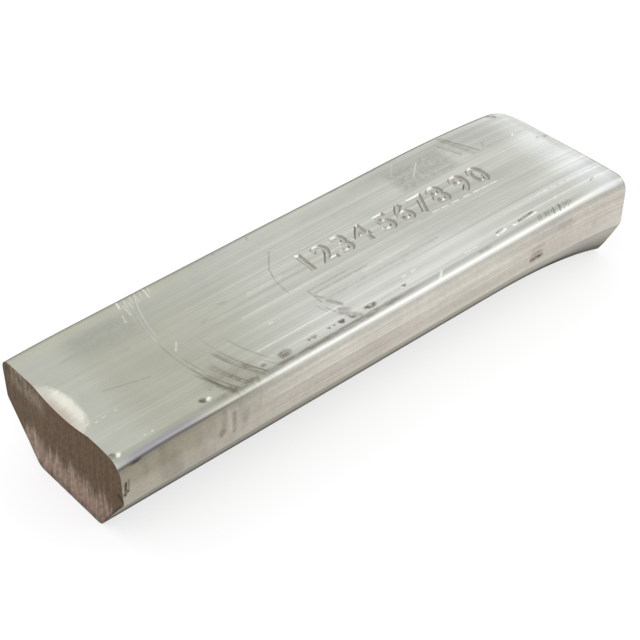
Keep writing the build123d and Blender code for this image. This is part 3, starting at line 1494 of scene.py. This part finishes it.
@dataclass(frozen=True)
class EdgeLightAndMarks:
    """The top edge above the -Y flank: a painted dim reflection near the blade end and a painted highlight
    beyond, with painted shade beside it and dark lines.
    """

    on_rim: Fade = Fade(17.4, 17.7)
    # Painted reflection: a violet grey in place of the highlight on the edge near the blade end
    dulled: Coat = Coat(linear(151, 148, 153), (
        Zone(along=(Fade(-33, -43), Fade(-53.5, -50, 0.4, 1.0)), across=(Fade(-14.0, -14.8),), up=(on_rim,)),
    ))
    # Painted shade on the upper part of the rounded edge, above the painted highlight
    gutter: Coat = Coat(linear(136, 136, 124), (
        Zone(along=(Fade(-30, -5, 0.24, 0.4), Fade(47, 39)), across=Fade.band(-14.4, -13.65, 0.45),
             up=(on_rim,)),
    ))
    swing: Fade = Fade(36, 50, 0.0, 0.3)
    # Painted highlight along the rounded edge, in the bright metal colour
    bright: Coat = Coat(BRIGHT_METAL_AND_HIGHLIGHT, (
        Zone(along=(Fade(-34, -12), Fade(30, 48, 0.36, 0.6)), across=Fade.band(-15.05, -14.68, 0.28),
             up=(on_rim,)),
    ))
    dark_lines: Coat = Coat(linear(96, 92, 88), (
        Zone(along=(Fade(28, 36, 0.2, 0.28),), across=(Fade(-14.95, -15.14),), up=(Fade(16.6, 17.2),)),
        Zone(along=(Fade(-10, -42, 0.0, 0.88),), across=Fade.band(-15.38, -15.1, 0.25),
             up=(Fade(17.1, 17.4),)),
    ))
    soot_nick: Coat = Coat(linear(58, 54, 58), (
        Zone(along=Fade.band(-51.6, -49.8, 1.4), across=(Fade(-14.6, -15.0),),
             up=Fade.band(17.35, 17.7, 0.28), strength=0.8),
    ))

    def lay(self, graph: Graph, place: Socket, colour: Socket) -> Socket:
        """Lays the edge's coats, the painted highlight along a line that swings in at the rolled end.

        Args:
            graph: The node tree.
            place: Where on the straight stock a point is.
            colour: The colour so far.

        Returns:
            The colour with the worn edge.
        """
        x, y, z = graph.split(place)
        swung = graph.join(x, graph.math("SUBTRACT", y, self.swing.read(graph, x)), z)
        colour = self.dulled.lay(graph, place, colour)
        colour = self.gutter.lay(graph, place, colour)
        colour = self.bright.lay(graph, swung, colour)
        colour = self.dark_lines.lay(graph, place, colour)
        return self.soot_nick.lay(graph, place, colour)


@dataclass(frozen=True)
class PressedMetal:
    """What was pressed in: painted shade that deepens with depth, painted shade on walls across the bar and a
    painted highlight on walls along it.
    """

    # Painted shade: a pinkish grey that deepens with the pressed depth
    dull: Colour = linear(180, 171, 164)
    # Painted shade on the digits' walls that face along the bar
    dirt: Colour = linear(122, 117, 106)
    shade_by_depth: Fade = Fade(0.05, 0.4, 0.0, 0.35)
    inside: Fade = Fade(0.01, 0.08)
    beside_digits: Fade = Fade(-3, -2)
    highlight_wall: Fade = Fade(0.15, 0.5, 0.0, 0.65)
    shaded_wall: Fade = Fade(0.12, 0.45, 0.0, 0.72)

    def lay(self, graph: Graph, place: Socket, colour: Socket) -> Socket:
        """Darkens what was pressed in with painted shade, and paints light and shade on the walls of the
        digits.

        Args:
            graph: The node tree.
            place: Where on the straight stock a point is.
            colour: The colour so far.

        Returns:
            The colour with the pressed metal.
        """
        _, y, _ = graph.split(place)
        depth = graph.attribute(PRESSED, "Fac")
        wall_x, wall_y, _ = graph.split(graph.attribute(WALL, "Vector"))
        colour = graph.mix(self.shade_by_depth.read(graph, depth), colour, self.dull)
        in_digit = graph.product(self.inside.read(graph, depth), self.beside_digits.read(graph, y))
        # A painted highlight on walls that face across the bar, and painted shade on walls that face along it
        for fade, facing, paint in (
            (self.highlight_wall, wall_y, BRIGHT_METAL_AND_HIGHLIGHT),
            (self.shaded_wall, wall_x, self.dirt),
        ):
            wall = fade.read(graph, graph.math("ABSOLUTE", facing))
            colour = graph.mix(graph.product(wall, in_digit), colour, paint)
        return colour


@dataclass(frozen=True)
class DieLines:
    """The lengthwise lines that the die left, stronger away from the blade end."""

    fine: Grain = Grain((0.02, 3.5, 3.5), 4.0, 0.7, Fade(0.3, 0.7, -0.075, 0.075))
    broad: Grain = Grain((0.012, 0.7, 0.7), 2.0, 0.55, Fade(0.3, 0.7, -0.075, 0.075))
    sharp: Grain = Grain((0.016, 2.0, 2.0), 1.0, 0.55, Fade(0.58, 0.68, 0.0, 0.12))
    clouds: Grain = Grain((0.12, 0.16, 0.16), 3.0, 0.55, Fade(0.3, 0.7, -0.03, 0.03))
    drawn: Zone = Zone(along=(Fade(-35, -12, 0.35, 1.0),), across=(Fade(14, 4, 0.5, 1.0),))
    relief: float = 0.02
    relief_strength: float = 0.5

    def shade(self, graph: Graph, place: Socket) -> Socket:
        """Draws the lines.

        Args:
            graph: The node tree.
            place: Where on the straight stock a point is.

        Returns:
            A shade near 1 to multiply the colour by.
        """
        lines = self.fine.read(graph, place)
        for grain in (self.broad, self.sharp):
            lines = graph.math("ADD", lines, grain.read(graph, place))
        lines = graph.product(lines, self.drawn.mask(graph, place))
        shade = graph.math("ADD", lines, self.clouds.read(graph, place))
        return graph.math("ADD", shade, 1.0)


@dataclass(frozen=True)
class Glance:
    """The tint of what the skin reflects at a low angle: white, and darkened as painted shade low on the
    taper, at its foot and along the far +Y edge.
    """

    clean: Colour = (1.0, 1.0, 1.0)
    taper: Coat = Coat((0.6, 0.57, 0.52), (
        Zone(along=(Fade(46, 22, 0.4, 1.0),), up=(Fade(10.2, 9.2),)),
    ))
    foot: Coat = Coat((0.15, 0.145, 0.12), (
        Zone(along=(Fade(51, 42, 0.3, 1.0),), up=(Fade(4.0, 1.4),)),
    ))
    far_rim: Coat = Coat((0.48, 0.48, 0.44), (
        Zone(across=(Fade(13.6, 14.6),), up=(ON_TOP,)),
    ))

    def tint(self, graph: Graph, place: Socket) -> Socket:
        """Tints the skin.

        Args:
            graph: The node tree.
            place: Where on the straight stock a point is.

        Returns:
            The tint.
        """
        tint = self.clean
        for coat in (self.taper, self.foot, self.far_rim):
            tint = coat.lay(graph, place, tint)
        return tint


@dataclass(frozen=True)
class DrawnSkin:
    """The drawn surface: dull silver with lengthwise lines, scuffs and handling marks, and painted light and
    shade.
    """

    name: str = "drawn_solder"
    top: TopFinish = TopFinish()
    side: SideFinish = SideFinish()
    lines: DieLines = DieLines()
    edge: EdgeLightAndMarks = EdgeLightAndMarks()
    pressed: PressedMetal = PressedMetal()
    glance: Glance = Glance()
    top_marks: TopMarks = TopMarks()
    flank_marks: FlankMarks = FlankMarks()
    on_flank: Fade = Fade(-14.6, -15.2)
    # Brown of rubbed-in smears, and painted shadow in the pits
    grime: Colour = linear(92, 81, 67)
    shade: Colour = linear(122, 121, 111)
    roughness: Fade = Fade(0.2, 0.8, 0.25, 0.36)

    def make(self, number: int, near: float, far: float) -> bpy.types.Material:
        """Builds the material for a stretch of the bar.

        Args:
            number: Which stretch it is.
            near: Where the stretch starts.
            far: Where it ends.

        Returns:
            The material.
        """
        material = bpy.data.materials.new(f"{self.name}_{number}")
        graph = Graph.for_material(material)
        place = graph.attribute(PLACE, "Vector")
        _, _, z = graph.split(place)
        on_top = ON_TOP.read(graph, z)
        colour = graph.mix(on_top, self.side.colour(graph, place), self.top.colour(graph, place))
        colour = graph.vector("SCALE", colour, self.lines.shade(graph, place))
        colour = self.edge.lay(graph, place, colour)
        colour = self.pressed.lay(graph, place, colour)
        for paint, mask in self.mark_masks(graph, place, near, far):
            colour = graph.mix(mask, colour, paint)
        fine = self.lines.fine.clouds(graph, place)
        relief = graph.bump(fine, self.lines.relief, self.lines.relief_strength)
        graph.metal(colour, self.roughness.read(graph, fine), relief, self.glance.tint(graph, place))
        return material

    def mark_masks(self, graph: Graph, place: Socket, near: float, far: float) -> list[tuple[Colour, Socket]]:
        """Draws the marks on a stretch of the bar, those on the top and those on the flank.

        Args:
            graph: The node tree.
            place: Where on the straight stock a point is.
            near: Where the stretch starts.
            far: Where it ends.

        Returns:
            A colour and its mask for each kind of mark, in the order in which they are laid.
        """
        x, y, z = graph.split(place)
        on_top = ON_TOP.read(graph, z)
        on_flank = graph.product(self.on_flank.read(graph, y), graph.math("SUBTRACT", 1.0, on_top))
        cloudy = self.flank_marks.cloudy.read(graph, place)
        top_masks = self.top_marks.on_stretch(near, far).masks(graph, place)
        flank_masks = Stroke.draw(graph, graph.join(x, z), self.flank_marks.on_stretch(near, far))
        paints = {MarkKind.SHADE: self.shade, MarkKind.GRIME: self.grime, MarkKind.BRIGHT: BRIGHT_METAL_AND_HIGHLIGHT}
        masks = []
        for kind, paint in paints.items():
            flank_mask = graph.product(flank_masks[kind], on_flank, cloudy)
            masks.append((paint, graph.math("MAXIMUM", graph.product(top_masks[kind], on_top), flank_mask)))
        return masks


@dataclass(frozen=True)
class ShearedFace:
    """The cut ends: a painted brown reflection above, and a paler torn zone below with a ragged line between
    them.
    """

    name: str = "sheared_solder"
    # Painted reflection: the face's brown stands in for the brown surroundings it mirrors
    tarnish: Colour = linear(88, 70, 52)
    worn: Colour = linear(120, 112, 95)
    torn: Colour = linear(152, 131, 120)
    # Darkest brown, at the foot of the face and in its dark marks
    burnt: Colour = linear(36, 23, 16)
    # Orange brown along the top lip, darkened as a painted shadow under the lip
    lip_stain_and_shadow: Colour = linear(98, 60, 36)
    rust: Colour = linear(150, 98, 74)
    # A brownish tint at low angles, part of the painted brown reflection
    glance: Colour = (0.84, 0.79, 0.73)
    roughness: float = 0.42

    # The metal's own patterns: slanting tears, fringes and hairs, and a grain that lies askew
    tear_slant: float = 0.12
    grain_slant: float = 0.7
    tears: Grain = Grain((0.5, 0.03, 1.0), 5.0, 0.6, Fade(0.3, 0.7, 1.6, -1.6))
    fringes: Grain = Grain((1.6, 0.06, 1.0), 3.0, 0.6, Fade(0.3, 0.7, 1.4, -1.4))
    hairs: Grain = Grain((1.3, 0.12, 1.0), 4.0, 0.6, Fade(0.3, 0.6, 0.6, 1.0))
    grain: Grain = Grain((1.3, 0.45, 1.0), 5.0, 0.65, Fade(0.4, 0.6, 0.35, 1.0))

    # Where each colour lies. A tongue is its middle and half width across the bar, and its rise.
    tongues: tuple[tuple[float, float, float], ...] = ((9.2, 1.6, 3.0), (-0.1, 0.9, 3.0), (-8.2, 1.6, 1.2))
    torn_below: Fade = Fade(8.0, 4.4)
    torn_across: Fade = Fade(-8, 2, 0.86, 1.0)
    worn_zone: Zone = Zone(across=Fade.band(4.5, 13.5, 3.5), up=(Fade(13.2, 15.6),))
    worn_hairs: Fade = Fade(0.35, 0.6, 0.3, 1.0)
    lip_zone: Zone = Zone(across=Fade.band(-9, 9, 2), up=(Fade(17.5, 18.2),))
    foot_zone: Zone = Zone(up=(Fade(2.2, 0.6),))
    foot_tears: Fade = Fade(0.3, 0.65, 0.75, 0.2)
    rust_zone: Zone = Zone(up=Fade.band(0.8, 2.6, 0.8), strength=0.35)
    rust_fringes: Fade = Fade(0.5, 0.62)
    strokes: tuple[Stroke, ...] = (
        Stroke(MarkKind.SHADE, (-15.5, 10.8), (-14.6, 11.6), 0.7, 1.7),
        Stroke(MarkKind.SHADE, (-14.7, 9.2), (-9.2, 1.4), 0.5, 0.7),
        Stroke(MarkKind.SHADE, (14.3, 17.3), (13.9, 16.6), 1.2, 0.5),
        Stroke(MarkKind.SHADE, (11.1, 17.4), (10.9, 16.4), 1.3, 0.4),
        Stroke(MarkKind.BRIGHT, (8.1, 17.9), (7.6, 14.6), 0.8, 0.4),
        Stroke(MarkKind.BRIGHT, (6.0, 14.2), (2.0, 14.0), 0.8, 0.25),
    )

    # The relief, from hairs and grain
    hair_height: float = 0.5
    grain_height: float = 0.7
    relief_shade: Fade = Fade(0.45, 0.75, 0.7, 1.3)
    relief: float = 0.16
    relief_strength: float = 0.8

    def make(self) -> bpy.types.Material:
        """Builds the material.

        Returns:
            The material.
        """
        material = bpy.data.materials.new(self.name)
        graph = Graph.for_material(material)
        place = graph.attribute(PLACE, "Vector")
        _, y, z = graph.split(place)
        slanted_y = graph.math("ADD", y, graph.product(z, self.tear_slant))
        slanted = graph.join(slanted_y, z)
        across = graph.math("ADD", y, graph.product(z, self.grain_slant))
        along = graph.math("SUBTRACT", z, graph.product(y, self.grain_slant))
        tears = self.tears.clouds(graph, slanted)
        fringes = self.fringes.clouds(graph, slanted)
        hairs = self.hairs.clouds(graph, slanted)
        grain = self.grain.clouds(graph, graph.join(across, along))

        edge = graph.math("ADD", z, self.tears.fade.read(graph, tears))
        edge = graph.math("ADD", edge, self.fringes.fade.read(graph, fringes))
        for middle, half_width, rise in self.tongues:
            miss = graph.math("ABSOLUTE", graph.math("SUBTRACT", slanted_y, middle))
            edge = graph.math("SUBTRACT", edge, Fade(half_width, 0, 0, rise).read(graph, miss))
        torn = graph.product(self.torn_below.read(graph, edge), self.hairs.fade.read(graph, hairs),
                             self.torn_across.read(graph, y))
        worn = graph.product(self.worn_zone.mask(graph, place), self.worn_hairs.read(graph, hairs))
        lip = graph.product(self.lip_zone.mask(graph, place), self.grain.fade.read(graph, grain))
        foot = graph.product(self.foot_zone.mask(graph, place), self.foot_tears.read(graph, tears))
        rust = graph.product(self.rust_zone.mask(graph, place), self.rust_fringes.read(graph, fringes))
        marks = Stroke.draw(graph, graph.join(y, z), self.strokes)

        colour = self.tarnish
        for mask, paint in (
            (torn, self.torn),
            (graph.math("MAXIMUM", worn, marks[MarkKind.BRIGHT]), self.worn),
            (lip, self.lip_stain_and_shadow),
            (graph.math("MAXIMUM", foot, marks[MarkKind.SHADE]), self.burnt),
            (rust, self.rust),
        ):
            colour = graph.mix(mask, colour, paint)
        hair_relief = graph.product(hairs, self.hair_height)
        height = graph.math("ADD", hair_relief, graph.product(grain, self.grain_height))
        colour = graph.vector("SCALE", colour, self.relief_shade.read(graph, height))
        relief = graph.bump(height, self.relief, self.relief_strength)
        graph.metal(colour, self.roughness, relief, self.glance)
        return material


@dataclass
class SolderBar:
    """The whole bar: one piece of drawn stock, sheared at both ends and punched on top."""

    low: Vector
    high: Vector
    section: BarSection = BarSection()
    rolled: RolledEnd = RolledEnd()
    blade: BladeEnd = BladeEnd()
    digits: DigitRow = DigitRow()
    columns: int = 48
    slice_cuts: int = 53
    end_stretch: float = 3.0
    end_cuts: int = 3
    press_cuts: int = 5
    top_facing: float = 0.9
    top_skin: float = 1.0
    waviness: float = 0.1
    wave_size: float = 16.0
    flat_below: float = 3.0
    wear: float = 0.5
    wear_rounds: int = 2
    crease_angle: float = 32.0
    end_facing: float = 0.8
    stretch_ends: tuple[float, ...] = (-39.0, -26.0, -4.0, 17.0, 36.0)
    dents: tuple[Dent, ...] = (
        Dent(-53.1, -13.3, 0.9, 0.5, 0.35),
        Dent(-36.0, -12.8, 0.85, 0.5, 0.32),
        Dent(-46.0, -12.9, 0.35, 0.28, 0.14),
        Dent(-47.2, -12.8, 0.25, 0.22, 0.12),
        Dent(-51.0, -6.0, 0.28, 0.22, 0.12),
        Dent(-49.7, -6.0, 0.3, 0.18, 0.1),
        Dent(-47.4, -5.8, 0.3, 0.24, 0.12),
        Dent(-17.4, -5.6, 0.35, 0.28, 0.14),
        Dent(-15.4, -12.6, 0.4, 0.3, 0.2),
        Dent(-14.3, -12.6, 0.55, 0.36, 0.25),
        Dent(-11.2, -12.6, 0.35, 0.25, 0.18),
        Dent(-10.2, -12.6, 0.3, 0.25, 0.16),
        Dent(-8.6, -12.7, 0.65, 0.4, 0.3),
        Dent(-6.4, -12.7, 0.7, 0.5, 0.35),
        Dent(-2.6, -12.8, 1.2, 0.45, 0.3),
        Dent(4.6, -12.6, 0.5, 0.32, 0.2),
        Dent(26.1, -12.7, 1.15, 0.4, 0.28),
        Dent(31.8, -12.6, 2.8, 0.42, 0.3),
    )

    def top_z(self, x: float, y: float) -> float:
        """Gives the height of the top at a place along and across the bar, all in millimetres."""
        share = 1 - (self.high.x / MM - x) / self.rolled.length
        return self.section.height - self.rolled.sink(share, 2 * y / self.section.top_width)

    def stock(self) -> Workpiece:
        """Draws the straight stock: an end face of rows, drawn out along the bar and sliced.

        Returns:
            The stock.
        """
        rows = self.section.rows()
        length = self.high.x - self.low.x
        Workpiece.clear_bench()
        bpy.ops.mesh.primitive_grid_add(
            x_subdivisions=self.columns, y_subdivisions=len(rows) - 1, size=1,
            rotation=(math.pi / 2, 0, math.pi / 2),
        )
        piece = Workpiece(bpy.context.object)
        piece.obj.name = f"{NODE}_skin"
        bpy.ops.object.transform_apply(location=True, rotation=True, scale=True)
        self.spread_rows(piece, rows)
        bpy.ops.mesh.select_all(action="SELECT")
        bpy.ops.transform.translate(value=(self.low.x, 0, 0))
        bpy.ops.mesh.extrude_region_move(TRANSFORM_OT_translate={"value": (length, 0, 0)})
        bpy.ops.mesh.select_all(action="SELECT")
        bpy.ops.mesh.normals_make_consistent(inside=False)
        # Slices of about 2 mm are halved all along, and those at the ends are cut finer
        piece.edit("EDGE")
        piece.pick_edges(lambda a, b: abs(a.x - b.x) > length / 2)
        bpy.ops.mesh.subdivide(number_cuts=self.slice_cuts)
        piece.pick_edges(lambda a, b: abs(a.x - b.x) > MM)
        bpy.ops.mesh.subdivide(number_cuts=1)
        stretch = self.end_stretch * MM
        inner = (self.low.x + stretch, self.high.x - stretch)
        piece.pick_edges(lambda a, b: abs(a.x - b.x) > MM / 2 and not inner[0] < (a.x + b.x) / 2 < inner[1])
        bpy.ops.mesh.subdivide(number_cuts=self.end_cuts)
        Workpiece.clear_bench()
        return piece

    @staticmethod
    def spread_rows(piece: Workpiece, rows: Sequence[Vector]) -> None:
        """Moves each row of the flat grid to its height and width, and leaves the piece in edit mode.

        Args:
            piece: The grid, one unit wide and high.
            rows: Half width and height of each row, from the base up.
        """
        last = len(rows) - 1
        # Placed rows wait this far above the grid, in metres, where no later row's test picks them
        clear = 2
        piece.edit("VERT")
        for index, row in enumerate(rows):
            level = index / last - 0.5
            piece.pick_verts(lambda place: abs(place.z - level) < 0.5 / last)
            bpy.ops.transform.resize(value=(1, 2 * row.x * MM, 1), center_override=(0, 0, level))
            bpy.ops.transform.translate(value=(0, 0, clear + row.y * MM - level))
        bpy.ops.mesh.select_all(action="SELECT")
        bpy.ops.transform.translate(value=(0, 0, -clear))

    def shape_ends(self, piece: Workpiece) -> None:
        """Rolls one end over and presses the other.

        Args:
            piece: The stock.
        """
        width, height = self.section.top_width, self.section.height
        near_x, far_x = self.low.x / MM, self.high.x / MM
        EndCage(
            far_x - self.rolled.length, far_x, width, height,
            lambda share, y, z: self.rolled.shift(self.section, share, y, z),
        ).shape(piece)
        EndCage(
            near_x + self.blade.length, near_x, width, height,
            lambda share, y, z: self.blade.shift(self.section, share, y, z),
        ).shape(piece)

    def refine(self, piece: Workpiece) -> None:
        """Gives the top more points where something is pressed into it.

        Args:
            piece: The bar.
        """
        piece.edit("FACE")
        piece.pick_faces(lambda place, normal: normal.z > self.top_facing and self.is_pressed(place))
        bpy.ops.mesh.subdivide(number_cuts=self.press_cuts)
        Workpiece.clear_bench()

    def press_tool(self) -> Workpiece:
        """Makes all the punches and dent balls, joined as one tool.

        Returns:
            The tool.
        """
        tools = self.digits.punches(self.top_z)
        tools += [dent.ball(self.top_z(dent.x, dent.y)) for dent in self.dents]
        Workpiece.clear_bench()
        for tool in tools:
            tool.select_set(True)
        bpy.context.view_layer.objects.active = tools[0]
        bpy.ops.object.join()
        bpy.ops.object.transform_apply(location=True, rotation=True, scale=True)
        return Workpiece(bpy.context.object)

    def press_top(self, piece: Workpiece) -> None:
        """Presses the digits and dents into the top, wears them, and stores each point's depth and facing.

        Args:
            piece: The bar.
        """
        tool = self.press_tool()
        before = [vert.co.z for vert in piece.obj.data.vertices]
        piece.finish_with(
            "SHRINKWRAP", target=tool.obj, wrap_method="PROJECT", use_project_z=True,
            use_negative_direction=True, use_positive_direction=False,
        )
        tool.discard()
        after = [vert.co.z for vert in piece.obj.data.vertices]
        piece.store(PRESSED, "FLOAT", [(high - low) / MM for high, low in zip(before, after)])
        piece.finish_with(
            "SMOOTH", factor=self.wear, iterations=self.wear_rounds, use_x=False, use_y=False,
            vertex_group=piece.group("worn", self.is_pressed),
        )
        piece.store(WALL, "FLOAT_VECTOR", [vert.normal.copy() for vert in piece.obj.data.vertices])

    def is_pressed(self, place: Vector) -> bool:
        """Says whether a place is on the top and near a digit or a dent.

        Args:
            place: The place, in metres.

        Returns:
            True if it is.
        """
        if place.z / MM < self.top_z(place.x / MM, place.y / MM) - self.top_skin:
            return False
        return self.digits.reaches(place) or any(dent.reaches(place) for dent in self.dents)

    def wave(self, piece: Workpiece) -> None:
        """Makes the skin a little uneven, always inwards, and keeps the base flat.

        Args:
            piece: The bar.
        """
        texture = bpy.data.textures.new("uneven_skin", "CLOUDS")
        texture.noise_scale = self.wave_size * MM
        piece.finish_with(
            "DISPLACE", texture=texture, texture_coords="LOCAL", strength=self.waviness * MM, mid_level=1.0,
            vertex_group=piece.group("skin", lambda place: place.z > self.flat_below * MM),
        )

    def build(self) -> bpy.types.Object:
        """Makes the bar and puts it in the place of its node.

        Returns:
            The finished piece.
        """
        piece = self.stock()
        # The finish follows the metal, so it reads where each point of the straight stock was
        piece.store(PLACE, "FLOAT_VECTOR", [vert.co / MM for vert in piece.obj.data.vertices])
        self.shape_ends(piece)
        self.wave(piece)
        self.refine(piece)
        self.press_top(piece)
        piece.take()
        bpy.ops.object.shade_smooth_by_angle(angle=math.radians(self.crease_angle))
        self.dress(piece)
        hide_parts(NODE)
        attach(piece.obj, BODY)
        return piece.obj

    def dress(self, piece: Workpiece) -> None:
        """Gives the drawn skin, stretch by stretch, and then the cut ends their finishes.

        Args:
            piece: The bar.
        """
        skin = DrawnSkin()
        limits = (self.low.x / MM - 1, *self.stretch_ends, self.high.x / MM + 1)
        for number, (near, far) in enumerate(pairwise(limits), start=1):
            piece.paint(skin.make(number, near, far), lambda place, normal: near < place.x / MM <= far)
        inner = (self.low.x + self.blade.face_zone * MM, self.high.x - self.rolled.face_zone * MM)
        piece.paint(
            ShearedFace().make(),
            lambda place, normal: abs(normal.x) > self.end_facing and not inner[0] < place.x < inner[1],
        )


@dataclass(frozen=True)
class Softbox:
    """A soft studio lamp that faces the bar."""

    name: str
    direction: tuple[float, float, float]
    distance: float
    width: float
    height: float
    radiance: float

    def hang(self, target: Vector) -> None:
        """Makes the lamp.

        Args:
            target: Where it faces.
        """
        Workpiece.clear_bench()
        back = Vector(self.direction).normalized()
        bpy.ops.object.light_add(type="AREA", location=target + back * self.distance)
        lamp = bpy.context.object
        lamp.name = self.name
        lamp.rotation_mode = "QUATERNION"
        lamp.rotation_quaternion = back.to_track_quat("Z", "Y")
        lamp.data.shape = "RECTANGLE"
        lamp.data.size = self.width
        lamp.data.size_y = self.height
        lamp.data.energy = self.radiance * math.pi * self.width * self.height


@dataclass(frozen=True)
class CameraStand:
    """The camera, fitted to the photograph's outline."""

    azimuth: float = -40.24
    elevation: float = 40.88
    roll: float = -0.3
    distance: float = 324.9
    target: tuple[float, float, float] = (3.385, 6.936, -0.76)
    lens: float = 105.96
    nearest: float = 10.0

    def place(self) -> None:
        """Makes the camera and gives it to the scene."""
        turn, tilt = math.radians(self.azimuth), math.radians(self.elevation)
        back = Vector((math.sin(turn) * math.cos(tilt), -math.cos(turn) * math.cos(tilt), math.sin(tilt)))
        right = Vector((math.cos(turn), math.sin(turn), 0))
        up = back.cross(right)
        aim = Matrix((right, up, back)).transposed()
        aim = Matrix.Rotation(math.radians(self.roll), 3, back) @ aim
        Workpiece.clear_bench()
        bpy.ops.object.camera_add()
        camera = bpy.context.object
        stand = (Vector(self.target) + back * self.distance) * MM
        camera.matrix_world = Matrix.Translation(stand) @ aim.to_4x4()
        camera.data.lens = self.lens
        camera.data.clip_start = self.nearest * MM
        bpy.context.scene.camera = camera


@dataclass(frozen=True)
class Studio:
    """A plain white studio: pale floor, even surroundings and soft lamps."""

    floor_size: float = 6.0
    floor_gap: float = 0.00002
    floor_albedo: float = 0.35
    floor_glow: float = 0.7
    lamps: tuple[Softbox, ...] = (
        Softbox("side_softbox", (0.49, -0.66, 0.57), 0.9, 0.5, 0.5, 0.6),
        Softbox("back_softbox", (0.746, 0.626, 0.225), 1.0, 0.5, 0.28, 0.75),
        Softbox("left_softbox", (-0.42, 0.58, 0.7), 0.9, 0.7, 0.6, 0.35),
    )

    @staticmethod
    def seen(graph: Graph) -> Socket:
        """Tells rays that see the background, straight or in a reflection, from those that only light.

        Args:
            graph: The node tree to add to.

        Returns:
            1 for camera, glossy and transmission rays, and 0 for the rest.
        """
        path = graph.add("ShaderNodeLightPath")
        seen = graph.math("MAXIMUM", path.outputs["Is Camera Ray"], path.outputs["Is Glossy Ray"])
        return graph.math("MAXIMUM", seen, path.outputs["Is Transmission Ray"])

    def lay_floor(self) -> None:
        """Makes the floor, which is white where it is lit and keeps the bar's shadow."""
        Workpiece.clear_bench()
        bpy.ops.mesh.primitive_plane_add(size=self.floor_size, location=(0, 0, -self.floor_gap))
        floor = bpy.context.object
        floor.name = "studio_floor"
        material = bpy.data.materials.new("studio_floor")
        graph = Graph.for_material(material)
        matt = graph.add("ShaderNodeBsdfDiffuse")
        matt.inputs["Color"].default_value = (self.floor_albedo,) * 3 + (1,)
        glow = graph.add("ShaderNodeEmission")
        graph.feed(glow.inputs["Strength"], graph.math("MULTIPLY", self.seen(graph), self.floor_glow))
        both = graph.add("ShaderNodeAddShader")
        graph.feed(both.inputs[0], matt.outputs[0])
        graph.feed(both.inputs[1], glow.outputs[0])
        output = graph.add("ShaderNodeOutputMaterial")
        graph.feed(output.inputs["Surface"], both.outputs[0])
        floor.data.materials.append(material)

    def light_world(self) -> None:
        """Makes the surroundings, an even white."""
        world = bpy.data.worlds.new("studio_surroundings")
        world.use_nodes = True
        world.node_tree.nodes.clear()
        graph = Graph(world.node_tree)
        sky = graph.add("ShaderNodeBackground")
        sky.inputs["Color"].default_value = (1, 1, 1, 1)
        output = graph.add("ShaderNodeOutputWorld")
        graph.feed(output.inputs["Surface"], sky.outputs[0])
        bpy.context.scene.world = world

    def set_up(self, target: Vector) -> None:
        """Lays the floor, lights the bar and sets the view.

        Args:
            target: The middle of the bar.
        """
        self.lay_floor()
        self.light_world()
        for lamp in self.lamps:
            lamp.hang(target)
        CameraStand().place()
        bpy.context.scene.view_settings.view_transform = "Standard"


def main() -> None:
    """Builds the bar and its studio."""
    logging.basicConfig(level=logging.INFO, format="%(name)s: %(message)s")
    low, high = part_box(NODE)
    bar = SolderBar(low, high).build()
    log.info("%s: %d faces", bar.name, len(bar.data.polygons))
    Studio().set_up((low + high) / 2)
    log.info("studio: floor, lamps and camera")


if __name__ == "__main__":
    main()
